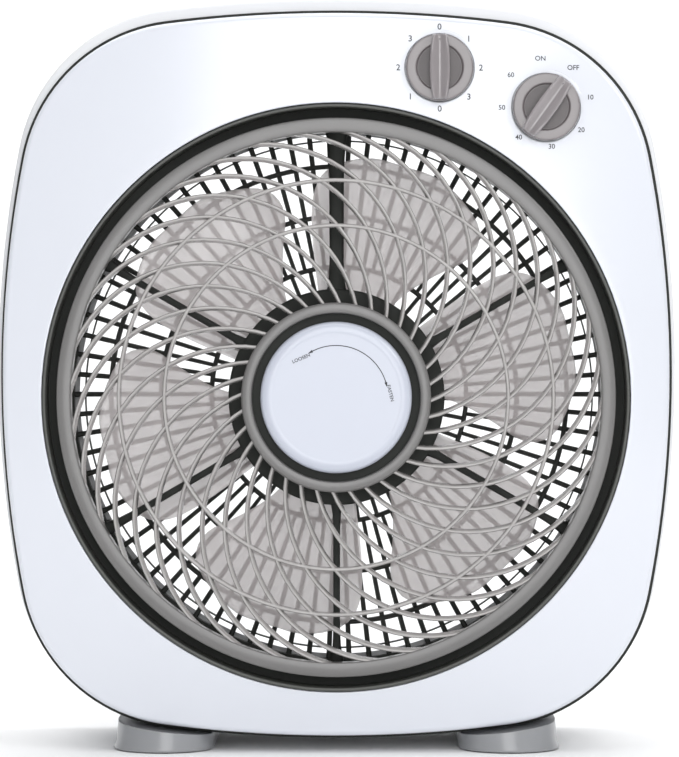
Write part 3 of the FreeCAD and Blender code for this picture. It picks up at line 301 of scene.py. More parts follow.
finishes = {
    "panelWhite": dict(colour=(0.66, 0.68, 0.735), spread=0.008, mottle=6, rough=0.2, roughSpread=0.02,
                       bump=0.02, coat=0.8, coatRough=0.16),
    "shellWhite": dict(colour=(0.72, 0.725, 0.74), spread=0.015, mottle=9, rough=0.42, bump=0.22,
                       grain=1600),
    "capWhite": dict(colour=(0.50, 0.525, 0.60), spread=0.002, roughSpread=0.005, mottle=12, rough=0.28,
                     bump=0.03, coat=0.3,
                     coatRough=0.15),
    "grilleTaupe": dict(colour=(0.15, 0.146, 0.143), spread=0.05, mottle=30, rough=0.32, bump=0.08,
                        coat=0.3, coatRough=0.2),
    # spokes and hoops get a lighter copy of the grille's taupe as painted light; the rim and hub ring keep
    # the darker grilleTaupe
    "spokeLitTaupe": dict(colour=(0.37, 0.355, 0.345), spread=0.05, mottle=30, rough=0.26, bump=0.06,
                       coat=0.8, coatRough=0.15),
    "bezelTaupe": dict(colour=(0.062, 0.064, 0.058), spread=0.05, mottle=30, rough=0.42, bump=0.08,
                       coat=0.1,
                       coatRough=0.2),
    "spiderDark": dict(colour=(0.026, 0.028, 0.025), spread=0.10, mottle=35, rough=0.62, bump=0.15,
                       ior=1.33),
    "rearDark": dict(colour=(0.034, 0.037, 0.031), spread=0.10, mottle=35, rough=0.5, bump=0.15),
    "ductDark": dict(colour=(0.13, 0.13, 0.126), spread=0.08, mottle=12, rough=0.5, bump=0.15),
    # the grip is a lighter copy of the knob's taupe: painted highlight
    "gripLitTaupe": dict(colour=(0.25, 0.228, 0.233), spread=0.03, mottle=60, rough=0.2, bump=0.05, coat=1.0,
                      coatRough=0.06),
    # the dish is a darker copy of the knob's taupe: painted shade in the recess
    "dishShadeTaupe": dict(colour=(0.105, 0.094, 0.095), spread=0.04, mottle=60, rough=0.4, bump=0.2),
    "knobTaupe": dict(colour=(0.165, 0.147, 0.15), spread=0.03, mottle=60, rough=0.24, bump=0.08, coat=0.6,
                      coatRough=0.10),
    "footGrey": dict(colour=(0.27, 0.275, 0.285), spread=0.03, mottle=25, rough=0.30, bump=0.12, grain=1500,
                     coat=0.4, coatRough=0.2),
    "bladeMilk": dict(colour=(0.93, 0.875, 0.87), spread=0.03, mottle=14, rough=0.22, bump=0.05, alpha=0.58,
                      coat=0.3),
    "padRubber": dict(colour=(0.02, 0.02, 0.021), spread=0.15, mottle=60, rough=0.75, bump=0.3, grain=900),
    "zincSteel": dict(colour=(0.56, 0.56, 0.55), spread=0.08, mottle=120, rough=0.33, metal=1.0, bump=0.1),
    "laminatedSteel": dict(colour=(0.30, 0.30, 0.31), spread=0.12, rough=0.45, metal=0.9, bump=0.5,
                           brushed=(1, 90, 1), mottle=20),
    "copperWire": dict(colour=(0.55, 0.22, 0.09), spread=0.2, rough=0.32, metal=0.8, bump=0.5,
                       brushed=(1, 40, 1), mottle=60),
    "castMetal": dict(colour=(0.50, 0.50, 0.50), spread=0.06, mottle=80, rough=0.5, metal=0.9, bump=0.5,
                      grain=900),
    "bronze": dict(colour=(0.42, 0.26, 0.12), spread=0.1, mottle=150, rough=0.42, metal=1.0, bump=0.2),
    "brass": dict(colour=(0.70, 0.50, 0.20), spread=0.06, mottle=100, rough=0.25, metal=1.0, bump=0.1),
    "leadBlack": dict(colour=(0.015, 0.015, 0.016), spread=0.1, mottle=80, rough=0.5, bump=0.2),
    "creamPlastic": dict(colour=(0.60, 0.55, 0.43), spread=0.05, mottle=50, rough=0.5, bump=0.15),
    "blackCase": dict(colour=(0.02, 0.02, 0.022), spread=0.1, mottle=40, rough=0.42, bump=0.2),
    "printInk": dict(colour=(0.02, 0.02, 0.025), spread=0.1, mottle=80, rough=0.5, bump=0.02),
}
finish = {name: makeFinish(name, look) for name, look in finishes.items()}
print("finishes made:", len(finish))

carried = {
    "zincSteel": ["grille_spindle", "motor_bolts", "foot_screws", "housing_screws", "spider_screws",
                  "motor_shaft", "impeller_nut", "drive_pin", "pressure_washer",
                  "speed_shaft", "timer_shaft"],
    "laminatedSteel": ["motor_stator", "rotor"], "copperWire": ["motor_coils"],
    "castMetal": ["motor_front_bracket", "motor_rear_bracket"],
    "bronze": ["front_bearing", "rear_bearing", "grille_bush"], "brass": ["threaded_insert"],
    "leadBlack": ["motor_lead"], "creamPlastic": ["terminal_block"],
    "blackCase": ["capacitor", "speed_switch",
                  "timer"],
    "rearDark": ["gland_nut"], "padRubber": ["foot_pads"],
}
for finishName, names in carried.items():
    for nodeName in names:
        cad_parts[nodeName].data.materials.clear()
        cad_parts[nodeName].data.materials.append(finish[finishName])


# the fan's outline: four shallow arcs joined by four corner arcs
outline = dict(halfWidth=192.6, halfHeight=209.0, sideArc=673.0, topArc=808.0, cornerArc=95.0,
               stepsPerArc=22,
               crownRadius=1500.0, crownStart=1.0, opening=170.0)


def cornerCentre(a, b, side, top, corner):
    across, up = a - side, b - top
    nearSide, nearTop = side - corner, top - corner
    apart = math.hypot(across, up)
    along = (nearSide ** 2 - nearTop ** 2 + apart ** 2) / (2 * apart)
    off = math.sqrt(nearSide ** 2 - along ** 2)
    unit = (-across / apart, up / apart)
    return across + unit[0] * along - unit[1] * off, unit[1] * along + unit[0] * off


# one loop of the outline, grown sideways and upwards by so many millimetres
def outlineLoop(grow, y, growTall=None, lift=0.0):
    growTall = grow if growTall is None else growTall
    a, b = outline["halfWidth"] + grow, outline["halfHeight"] + growTall
    side, top, corner = (outline[key] + grow for key in ("sideArc", "topArc", "cornerArc"))
    cx, cz = cornerCentre(a, b, side, top, corner)
    low, high = math.atan2(cz, cx - a + side), math.atan2(cz - b + top, cx)
    arcs = [(a - side, 0, side, -low, low), (cx, cz, corner, low, high),
            (0, b - top, top, high, math.pi - high),
            (-cx, cz, corner, math.pi - high, math.pi - low),
            (side - a, 0, side, math.pi - low, math.pi + low),
            (-cx, -cz, corner, math.pi + low, math.pi + high),
            (0, top - b, top, math.pi + high, math.tau - high),
            (cx, -cz, corner, math.tau - high, math.tau - low)]
    steps = outline["stepsPerArc"]
    loop = []
    for x, z, radius, start, end in arcs:
        for step in range(steps):
            angle = start + (end - start) * step / steps
            loop.append(Vector(((x + radius * math.cos(angle)) * mm, y,
                                plateZ + (lift + z + radius * math.sin(angle)) * mm)))
    return loop


guideAngles = [math.atan2(p.z - fanZ, p.x) for p in outlineLoop(0, 0)]


# a circle about the fan's axis, its points in line with the outline's points
def ringLoop(radius, y):
    return [Vector((radius * mm * math.cos(angle), y, fanZ + radius * mm * math.sin(angle)))
            for angle in guideAngles]


def blendLoops(first, last, share, y=None):
    mixed = [a.lerp(b, share) for a, b in zip(first, last)]
    return mixed if y is None else [Vector((p.x, y, p.z)) for p in mixed]


# the cover's front surface, part of a large sphere
def crownY(x, z, inset=0.0):
    radius = outline["crownRadius"] * mm
    middle = frontY + outline["crownStart"] * mm + math.sqrt(radius ** 2 - (outline["opening"] * mm) ** 2)
    return middle - math.sqrt((radius - inset * mm) ** 2 - x ** 2 - (z - plateZ) ** 2)


def onCrown(loop, inset=0.0, further=0.0):
    return [Vector((p.x, crownY(p.x, p.z, inset) + further * mm, p.z)) for p in loop]


# front cover
cover = dict(wall=2.5, edgeRound=3.2, roundSteps=6, panelSteps=9, openingRound=0.9, collarEnd=20.0)
controls = {
    "speed": dict(x=59.7, z=176.8, rest=0.0),
    "timer": dict(x=121.2, z=154.0, rest=35.5),
}
knob = dict(radius=19.5, gap=0.8, cupWall=2.0, cupFloor=8.5, floorThick=2.5, shaft=3.0, bushing=5.0,
            back=7.7)


def controlCentre(control):
    return Vector((control["x"] * mm, 0, plateZ + control["z"] * mm))


def makeCover():
    wall, bend = cover["wall"], cover["edgeRound"]
    opening, edge = ringLoop(outline["opening"], 0), outlineLoop(-bend, 0)
    loops = []
    for step in range(4):   # small round at the opening's edge
        angle = math.radians(30 * step)
        radius = outline["opening"] + cover["openingRound"] * (1 - math.cos(angle))
        loops.append(onCrown(ringLoop(radius, 0), 0, cover["openingRound"] * (1 - math.sin(angle))))
    innerEdge = ringLoop(outline["opening"] + cover["openingRound"], 0)
    for step in range(1, cover["panelSteps"] + 1):
        loops.append(onCrown(blendLoops(innerEdge, edge, step / cover["panelSteps"])))
    for step in range(1, cover["roundSteps"] + 1):
        angle = math.radians(90) * step / cover["roundSteps"]
        flat = onCrown(edge)
        moved = outlineLoop(-bend * (1 - math.sin(angle)), 0)
        loops.append([Vector((p.x, q.y + bend * (1 - math.cos(angle)) * mm, p.z)) for p,
                      q in zip(moved, flat)])
    loops.append(outlineLoop(0, coverBack))
    loops.append(outlineLoop(-wall, coverBack))
    loops.append([Vector((p.x, q.y + (bend + 1) * mm, p.z)) for p, q in
                  zip(outlineLoop(-wall, 0), onCrown(edge))])
    inside = ringLoop(outline["opening"] + wall, 0)
    for step in range(cover["panelSteps"] + 1):
        loops.append(onCrown(blendLoops(edge, inside, step / cover["panelSteps"]), 0, wall))
    collarY = frontY + cover["collarEnd"] * mm
    loops.append(ringLoop(outline["opening"] + wall, collarY))
    loops.append(ringLoop(outline["opening"], collarY))
    piece = loftLoops("coverPanel", loops)
    cutters = []
    for control in controls.values():
        centre = controlCentre(control)
        cutters.append(drillRod((knob["radius"] + knob["gap"]) * mm, frontY - 0.02, frontY + 0.02,
                                centre.x, centre.z, 96))
    cutAway(piece, cutters)
    softenEdges(piece, 0.35, 2, 40, 35)
    settle(piece, "housing", "white_shell", finish["panelWhite"], "front_cover")


# the recess that each knob sits in
def makeCups():
    reach = (knob["radius"] + knob["gap"]) * mm
    wall, floor = knob["cupWall"] * mm, frontY + knob["cupFloor"] * mm
    for name, control in controls.items():
        centre = controlCentre(control)
        rim = crownY(centre.x, centre.z) + 2.6 * mm
        cup = turnProfile(name + "Cup", [
            (rim, reach + 0.02 * mm), (floor, reach), (floor, knob["bushing"] * mm + 0.1 * mm),
            (floor + knob["floorThick"] * mm, knob["bushing"] * mm + 0.1 * mm),
            (floor + knob["floorThick"] * mm, reach + wall), (rim, reach + wall)], centre, 96)
        softenEdges(cup, 0.3)
        settle(cup, "housing", "white_shell", finish["panelWhite"])


# rear shell
shell = dict(sideGrow=5.0, tallGrow=6.0, lift=4.0, wall=2.5, frontRound=2.2, backRound=26.0, lipInset=2.8,
             lipWall=2.0, trimProud=3.0, lipHeight=6.0, opening=160.5, seam=1.2, postX=155.0, postZ=145.0,
             postRadius=6.5,
             wellRadius=4.5, wellFloor=3.0, glandX=128.0, glandZ=62.0, glandRadius=10.2, screwCircle=164.3)


def shellLoop(inset, y):
    return outlineLoop(shell["sideGrow"] - inset, y, shell["tallGrow"] - inset, shell["lift"])


def cornerPosts():
    return [(sx * shell["postX"] * mm, plateZ + sz * shell["postZ"] * mm) for sx in (-1, 1) for sz in (-1,
                                                                                                       1)]


def rearScrewPlaces():
    return [(shell["screwCircle"] * mm * math.cos(math.radians(30 + 60 * i)),
             fanZ + shell["screwCircle"] * mm * math.sin(math.radians(30 + 60 * i))) for i in range(6)]


def makeRearShell():
    front = coverBack + shell["seam"] * mm
    lipY = coverBack - shell["lipHeight"] * mm
    wall, small, large = shell["wall"], shell["frontRound"], shell["backRound"]
    innerBack = backY - wall * mm
    mouth = -shell["lipInset"] - shell["lipWall"]
    loops = [outlineLoop(mouth, lipY), outlineLoop(-shell["lipInset"], lipY),
             outlineLoop(-shell["lipInset"], front)]
    for step in range(5):
        angle = math.radians(22.5 * step)
        loops.append(shellLoop(small * (1 - math.sin(angle)), front + small * (1 - math.cos(angle)) * mm))
    for step in range(11):
        angle = math.radians(9 * step)
        loops.append(shellLoop(large * (1 - math.cos(angle)), backY - large * (1 - math.sin(angle)) * mm))
    flat, round_ = shellLoop(large, backY), ringLoop(shell["opening"], backY)
    for step in range(1, 6):
        loops.append(blendLoops(flat, round_, step / 5, backY))
    for step in range(0, 6):
        loops.append(blendLoops(round_, flat, step / 5, innerBack))
    for step in range(1, 7):
        angle = math.radians(90 - 15 * step)
        loops.append(shellLoop(large - (large - wall) * math.cos(angle),
                               innerBack - (large - wall) * (1 - math.sin(angle)) * mm))
    loops.append(shellLoop(wall, front + wall * mm))
    loops.append(outlineLoop(mouth, front + wall * mm))
    piece = loftLoops("rearHousing", loops)
    cutters = [drillRod(shell["wellRadius"] * mm, innerBack - 0.01, backY + 0.01, x, z, 32) for x,
               z in cornerPosts()]
    cutters += [drillRod(2.9 * mm, innerBack - 0.01, backY + 0.01, x, z, 24) for x, z in rearScrewPlaces()]
    cutters.append(drillRod(shell["glandRadius"] * mm, innerBack - 0.01, backY + 0.01,
                            shell["glandX"] * mm, shell["glandZ"] * mm, 48))
    cutAway(piece, cutters)
    softenEdges(piece, 0.4, 2, 40, 35)
    settle(piece, "housing", "white_shell", finish["shellWhite"], "rear_shell")
    posts = []
    for x, z in cornerPosts():
        start = coverBack
        posts.append(turnProfile("post", [
            (innerBack, shell["wellRadius"] * mm), (start + shell["wellFloor"] * mm,
                                                    shell["wellRadius"] * mm),
            (start + shell["wellFloor"] * mm, 2.1 * mm), (start, 2.1 * mm), (start,
                                                                             shell["postRadius"] * mm),
            (innerBack, shell["postRadius"] * mm)], Vector((x, 0, z)), 32))
    settle(softenEdges(joinPieces("shellPosts", posts), 0.3), "housing", "white_shell",
           finish["shellWhite"])


# a dark strip in the seam, 3 mm proud of the cover's outline: a trim part whose dark colour also paints the
# seam's shade line
def makeSeamTrim():
    start, end = coverBack, coverBack + shell["seam"] * mm
    proud = shell["trimProud"]
    loops = [outlineLoop(-2.4, start), outlineLoop(proud, start), outlineLoop(proud, end),
             outlineLoop(-2.4, end)]
    piece = softenEdges(loftLoops("seamTrim", loops), 0.25)
    settle(piece, "housing", "dark_plastic", finish["spiderDark"], "seam_trim")


# bezel ring and duct
bezel = dict(outer=169.7, inner=167.6, front=1.5, flange=2.0, reach=174.0)
duct = dict(inner=168.0, wall=2.0, flange=159.0, flangeThick=4.0)


def makeBezelAndDuct():
    outer, inner = bezel["outer"] * mm, bezel["inner"] * mm
    front, end = frontY + bezel["front"] * mm, frontY + cover["collarEnd"] * mm
    lip = 0.7 * mm
    ring = turnProfile("bezelTrim", [
        (front + lip, inner), (front + 0.2 * mm, inner + 0.25 * mm), (front, inner + lip),
        (front, outer - lip), (front + 0.2 * mm, outer - 0.25 * mm), (front + lip, outer), (end, outer),
        (end, bezel["reach"] * mm), (end + bezel["flange"] * mm, bezel["reach"] * mm),
        (end + bezel["flange"] * mm, inner)], steps=192)
    settle(softenEdges(ring, 0), "housing", "taupe_plastic", finish["bezelTaupe"], "bezel_ring")
    start, back = spiderHigh.y, backY - shell["wall"] * mm
    tube = turnProfile("airDuct", [
        (start, duct["flange"] * mm), (start + duct["flangeThick"] * mm, duct["flange"] * mm),
        (start + duct["flangeThick"] * mm, duct["inner"] * mm), (back, duct["inner"] * mm),
        (back, (duct["inner"] + duct["wall"]) * mm), (start,
                                                      (duct["inner"] + duct["wall"]) * mm)], steps=160)
    settle(softenEdges(tube, 0.4), "housing", "dark_plastic", finish["ductDark"], "air_duct")


# turning grille
grille = dict(front=3.0, back=13.0, radius=161.6, rim=8.4, outerHoop=125.6, innerHoop=99.4, hoopWidth=2.2,
              hub=54.8, hubWall=6.1,
              webThick=3.0, bush=9.0, spokes=36, spokeArc=82.1, spokeCentre=76.9, spokeLead=75.1,
              spokeTurn=8.3, spokeWidth=2.0, spokeDepth=7.2, lean=8.0, spokeSteps=22)


# the angle, back from the arc's centre line, at which it crosses a reach from the fan's axis
def arcCrossing(far, radius, reach):
    return math.acos((far ** 2 + reach ** 2 - radius ** 2) / (2 * far * reach))


def makeGrille():
    g = grille
    front, back = frontY + g["front"] * mm, frontY + g["back"] * mm
    base = math.radians(g["spokeTurn"] + g["spokeLead"])
    centre = Vector((g["spokeCentre"] * mm * math.cos(base), 0,
                     fanZ + g["spokeCentre"] * mm * math.sin(base)))
    bounds = []
    for reach in (g["hub"] - 2.0, g["radius"] - g["rim"] + 2.0):
        angle = base - arcCrossing(g["spokeCentre"], g["spokeArc"], reach)
        spot = Vector((reach * mm * math.cos(angle), 0, fanZ + reach * mm * math.sin(angle))) - centre
        bounds.append(math.atan2(spot.z, spot.x))
    sweep = (bounds[1] - bounds[0]) % math.tau
    sweep = sweep - math.tau if sweep > math.pi else sweep
    middleY = (front + back) / 2
    half, deep, lean = g["spokeWidth"] / 2, g["spokeDepth"] / 2, math.radians(g["lean"])
    section = [(-half * 0.55, -deep), (0, -deep - 0.25), (half * 0.55, -deep), (half, -deep + 0.9),
               (half, deep - 0.9), (half * 0.55, deep), (0, deep + 0.15), (-half * 0.55, deep),
               (-half, deep - 0.9), (-half, -deep + 0.9)]

    def stationAt(step):
        angle = bounds[0] + sweep * step / g["spokeSteps"]
        outward = Vector((math.cos(angle), 0, math.sin(angle)))

        def place(point):
            across = point[0] * math.cos(lean) - point[1] * math.sin(lean)
            along = point[0] * math.sin(lean) + point[1] * math.cos(lean)
            return centre + outward * (g["spokeArc"] + across) * mm + Vector((0, middleY + along * mm, 0))
        return place
    spoke = barFrom("spoke", section, [stationAt(step) for step in range(g["spokeSteps"] + 1)])
    repeatRound(spoke, g["spokes"])
    rings, hoops = [], []
    inner, outer = (g["radius"] - g["rim"]) * mm, g["radius"] * mm
    rings.append(turnProfile("rim", [
        (front + 1.2 * mm, inner), (front + 0.35 * mm, inner + 0.4 * mm), (front, inner + 1.3 * mm),
        (front - 0.15 * mm, (inner + outer) / 2), (front + 0.1 * mm, outer - 1.5 * mm),
        (front + 0.5 * mm, outer - 0.4 * mm), (front + 1.5 * mm, outer), (back, outer), (back,
                                                                                         inner)], steps=192))
    for reach in (g["outerHoop"], g["innerHoop"]):
        low, high = (reach - g["hoopWidth"] / 2) * mm, (reach + g["hoopWidth"] / 2) * mm
        hoops.append(turnProfile("hoop", [
            (front + 1.6 * mm, low), (front + 1.0 * mm, low + 0.6 * mm), (front + 0.85 * mm,
                                                                          (low + high) / 2),
            (front + 1.0 * mm, high - 0.6 * mm), (front + 1.6 * mm, high), (back - 1.0 * mm, high),
            (back - 1.0 * mm, low)], steps=160))
    inner, outer = (g["hub"] - g["hubWall"]) * mm, g["hub"] * mm
    rings.append(turnProfile("hub", [
        (front + 0.5 * mm, inner), (front - 0.6 * mm, inner + 0.5 * mm), (front - 1.0 * mm,
                                                                          inner + 1.6 * mm),
        (front - 1.0 * mm, outer - 2.2 * mm), (front - 0.5 * mm, outer - 0.8 * mm), (front + 0.8 * mm,
                                                                                     outer),
        (back, outer), (back, inner)], steps=128))
    webBack = back - 1.0 * mm
    web = turnProfile("grilleWeb", [
        (webBack - g["webThick"] * mm, g["bush"] * mm), (webBack - g["webThick"] * mm, inner + 0.2 * mm),
        (webBack, inner + 0.2 * mm), (webBack, g["bush"] * mm)], steps=96)
    # the grille's web takes the spider's dark finish: painted shade in the gap round the cap
    settle(softenEdges(web, 0), "grille_unit", "taupe_plastic", finish["spiderDark"])
    # spokes and hoops in the lighter copy of the grille's taupe: painted light on the same plastic
    spokes = softenEdges(joinPieces("swirlSpokes", [spoke] + hoops), 0, smooth=50)
    settle(spokes, "grille_unit", "taupe_plastic", finish["spokeLitTaupe"])
    piece = softenEdges(joinPieces("swirlGrille", rings), 0, smooth=20)
    settle(piece, "grille_unit", "taupe_plastic", finish["grilleTaupe"], "rotating_grille")


# lock cap, and the print on it
cap = dict(radius=43.8, front=1.0, rimEnd=7.2, wall=2.2, insert=9.0, insertEnd=6.6)


def makeCap():
    r, tip, rim = cap["radius"] * mm, frontY + cap["front"] * mm, frontY + cap["rimEnd"] * mm
    wall = cap["wall"] * mm
    face = turnProfile("lockCapFace", [
        (tip + 0.25 * mm, 0.0), (tip + 0.25 * mm, r - 7.2 * mm), (tip + 0.05 * mm, r - 6.2 * mm),
        (tip, r - 5.0 * mm), (tip + 0.15 * mm, r - 3.4 * mm), (tip + 0.7 * mm, r - 1.8 * mm),
        (tip + 1.7 * mm, r - 0.7 * mm), (tip + 3.0 * mm, r - 0.15 * mm), (tip + 4.2 * mm, r), (rim, r),
        (rim, r - wall), (tip + 4.2 * mm, r - wall), (tip + wall + 0.6 * mm, r - 4.6 * mm), (tip + wall,
                                                                                             r - 8 * mm),
        (tip + wall, (cap["insert"] + 3) * mm), (frontY + cap["insertEnd"] * mm, (cap["insert"] + 3) * mm),
        (frontY + cap["insertEnd"] * mm, cap["insert"] * mm), (tip + wall,
                                                               cap["insert"] * mm), (tip + wall, 0.0)],
        steps=160)
    softenEdges(face, 0, smooth=35)
    settle(face, "lock_turner", "white_shell", finish["capWhite"], "lock_cap")


# flat lettering that faces the front, centred on a place and turned about it
def letterMesh(word, height, centre, y, degrees=0.0, thick=0.12):
    deselect()
    bpy.ops.object.text_add()
    text = bpy.context.object
    text.data.body = word
    text.data.size = height * mm / 0.7
    text.data.align_x = "CENTER"
    text.data.align_y = "CENTER"
    text.data.extrude = thick * mm / 2
    text.data.offset = height * mm * 0.015
    text.data.resolution_u = 4
    bpy.ops.object.convert(target="MESH")
    piece = bpy.context.object
    stand = Matrix.Translation(Vector((centre[0], y, centre[1]))) \
        @ Matrix.Rotation(-math.radians(degrees), 4, "Y") @ Matrix.Rotation(math.pi / 2, 4, "X")
    piece.data.transform(stand)
    return piece


capPrint = dict(arcRadius=30.0, arcWidth=0.5, arcStart=117.0, arcEnd=17.0, arrow=3.0, letter=2.0,
                words=[("LOOSEN", -20.1, 22.5, 22.6), ("FASTEN", 31.3, 2.5, -76.0)])


def makeCapPrint():
    y = frontY + (cap["front"] + 0.22) * mm
    p = capPrint
    steps = 40
    loops = [[], []]
    for step in range(steps + 1):
        angle = math.radians(p["arcStart"] + (p["arcEnd"] - p["arcStart"]) * step / steps)
        for side, loop in zip((-1, 1), loops):
            reach = (p["arcRadius"] + side * p["arcWidth"] / 2) * mm
            loop.append(Vector((reach * math.cos(angle), y, fanZ + reach * math.sin(angle))))
    arc = startPoint("turnArrow", loops[0][0])
    drawProfile(loops[0] + loops[1][::-1] + loops[0][:1])
    bpy.ops.mesh.select_all(action="SELECT")
    bpy.ops.mesh.remove_doubles(threshold=0.000001)
    bpy.ops.mesh.edge_face_add()
    bpy.ops.object.mode_set(mode="OBJECT")
    heads = []
    for angle, way in ((p["arcStart"], 1), (p["arcEnd"], -1)):
        turn = math.radians(angle)
        tip = math.radians(angle + way * math.degrees(p["arrow"] / p["arcRadius"]))
        corners = [Vector((reach * mm * math.cos(turn), y, fanZ + reach * mm * math.sin(turn)))
                   for reach in (p["arcRadius"] - 0.85, p["arcRadius"] + 0.85)]
        corners.append(Vector((p["arcRadius"] * mm * math.cos(tip), y,
                               fanZ + p["arcRadius"] * mm * math.sin(tip))))
        head = startPoint("arrowHead", corners[0])
        drawProfile(corners + corners[:1])
        bpy.ops.mesh.select_all(action="SELECT")
        bpy.ops.mesh.remove_doubles(threshold=0.000001)
        bpy.ops.mesh.edge_face_add()
        bpy.ops.object.mode_set(mode="OBJECT")
        heads.append(head)
    flat = joinPieces("turnArrow", [arc] + heads)
    thicken = flat.modifiers.new("ink", "SOLIDIFY")
    thicken.thickness = 0.08 * mm
    thicken.offset = 0
    bpy.ops.object.modifier_apply(modifier=thicken.name)
    words = [letterMesh(word, p["letter"], (x * mm, fanZ + z * mm), y, turn)
             for word, x, z, turn in p["words"]]
    piece = joinPieces("capPrint", [flat] + words)
    deselect()
    bpy.context.view_layer.objects.active = piece
    bpy.ops.object.mode_set(mode="EDIT")
    tidyMesh()
    settle(piece, "lock_turner", "dark_plastic", finish["printInk"])


dials = dict(
    speed=dict(words=["0", "1", "2", "3", "0", "1", "2", "3"], first=90.0, step=45.0, radius=23.9, lift=0.0,
               height=3.5),
    timer=dict(words=["OFF", "10", "20", "30", "40", "50", "60", "ON"], first=52.0, step=45.0, radius=25.8,
               lift=2.9, height=2.8))


def makeDialPrint():
    words = []
    for name, dial in dials.items():
        centre = controlCentre(controls[name])
        for place, word in enumerate(dial["words"]):
            angle = math.radians(dial["first"] - dial["step"] * place)
            spot = (centre.x + dial["radius"] * mm * math.cos(angle),
                    centre.z + (dial["lift"] + dial["radius"] * math.sin(angle)) * mm)
            words.append(letterMesh(word, dial["height"], spot, 0.0))
    piece = joinPieces("dialPrint", words)
    for vert in piece.data.vertices:   # lay the ink on the crowned panel
        vert.co.y += crownY(vert.co.x, vert.co.z) - 0.02 * mm
    settle(piece, "housing", "dark_plastic", finish["printInk"])


# knobs
grip = dict(length=37.2, half=6.0, dish=13.4, dishDepth=1.6, rise=3.4, top=10.0)


def makeKnob(name, control):
    centre = controlCentre(control)
    r, back, face = knob["radius"] * mm, frontY + knob["back"] * mm, frontY - grip["rise"] * mm
    top = frontY - grip["top"] * mm
    dish = grip["dish"] * mm
    disc = turnProfile(name + "Disc", [
        (back, knob["shaft"] * mm), (back, r - 0.3 * mm), (face + 1.2 * mm, r), (face + 0.35 * mm,
                                                                                 r - 0.3 * mm),
        (face, r - 1.1 * mm), (face, dish + 0.9 * mm), (face + 0.25 * mm, dish + 0.2 * mm),
        (face + grip["dishDepth"] * mm, dish - 0.7 * mm), (face + grip["dishDepth"] * mm, 6.0 * mm),
        (face + 4.0 * mm, 6.0 * mm), (face + 4.0 * mm, knob["shaft"] * mm)], centre, 96)
    softenEdges(disc, 0, smooth=25)
    floor = face + grip["dishDepth"] * mm
    # a thin disc on the dish floor in the darker taupe: painted shade in the recess
    plate = turnProfile(name + "Dish", [
        (floor - 0.12 * mm, 0.0), (floor - 0.12 * mm, dish - 0.9 * mm), (floor + 0.3 * mm,
                                                                         dish - 0.75 * mm),
        (floor + 0.3 * mm, 0.0)], centre, 96)
    softenEdges(plate, 0)
    h = grip["half"]
    low = face + 2.5 * mm
    section = [(-h, 0.0), (-h, 0.84), (-h * 0.93, 0.955), (-h * 0.80, 1.0), (-h * 0.62, 0.97),
               (-h * 0.40, 0.85),
               (-h * 0.18, 0.765), (0, 0.74), (h * 0.18, 0.765), (h * 0.40, 0.85), (h * 0.62, 0.97),
               (h * 0.80, 1.0), (h * 0.93, 0.955), (h, 0.84), (h, 0.0)]
    halfLength = grip["length"] / 2

    def stationAt(share, width, tall):
        def place(point):
            return Vector((centre.x + point[0] * width * mm, low + (top - low) * point[1] * tall,
                           centre.z + share * halfLength * mm))
        return place
    stations = [(-1.0, 0.62, 0.80), (-0.985, 0.68, 0.90), (-0.93, 0.74, 0.965), (-0.82, 0.80, 0.985),
                (-0.62, 0.89, 1.0), (-0.35, 0.975, 1.0), (0.0, 1.0, 1.0)]
    stations += [(-share, width, tall) for share, width, tall in stations[-2::-1]]
    bar = barFrom(name + "Grip", section, [stationAt(*station) for station in stations])
    dot = turnProfile(name + "Dot", [
        (top + 3.9 * mm, 0.0), (top + 2.45 * mm, 0.0), (top + 2.45 * mm, 0.75 * mm), (top + 2.7 * mm,
                                                                                      0.95 * mm),
        (top + 3.9 * mm, 0.95 * mm)], centre + Vector((0, 0, (halfLength - 3.2) * mm)), 24)
    softenEdges(bar, 0.3, 2, 45, 40)
    softenEdges(dot, 0)
    for part in (bar, dot):
        turnPiece(part, -control["rest"], centre)
    bodyName = name + "_control"
    settle(disc, bodyName, "knob_plastic", finish["knobTaupe"], name + "_knob")
    # dish plate in the darker copy of the knob's taupe: painted shade
    settle(plate, bodyName, "knob_plastic", finish["dishShadeTaupe"])
    # grip in the lighter copy of the knob's taupe: painted highlight
    settle(bar, bodyName, "knob_plastic", finish["gripLitTaupe"])
    settle(dot, bodyName, "knob_plastic", finish["printInk"])


# spider in front of the blades
spider = dict(inner=156.5, outer=170.0, depth=12.0, strutDepth=10.0, disc=63.0, skirt=9.0, motorRoom=56.0,
              discThick=4.0, seat=6.0, boss=12.0, bossRise=4.0, struts=6)


# a strut that flares at both ends, its widths given root to tip
def makeStrut(name, widths, degrees):
    back = spiderHigh.y - 1.0 * mm
    front = back - spider["strutDepth"] * mm
    section = [(-1, 0.0), (-1, 0.78), (-0.72, 0.95), (0, 1.0), (0.72, 0.95), (1, 0.78), (1, 0.0)]
    start, end = (spider["disc"] - 3.0) * mm, (spider["inner"] + 2.0) * mm

    def stationAt(share, width):
        def place(point):
            return Vector((point[0] * width * mm, back + (front - back) * point[1],
                           fanZ + start + (end - start) * share))
        return place
    strut = barFrom(name, section, [stationAt(share, width) for share, width in widths])
    softenEdges(strut, 0, smooth=45)
    turnPiece(strut, degrees - 90)
    return strut


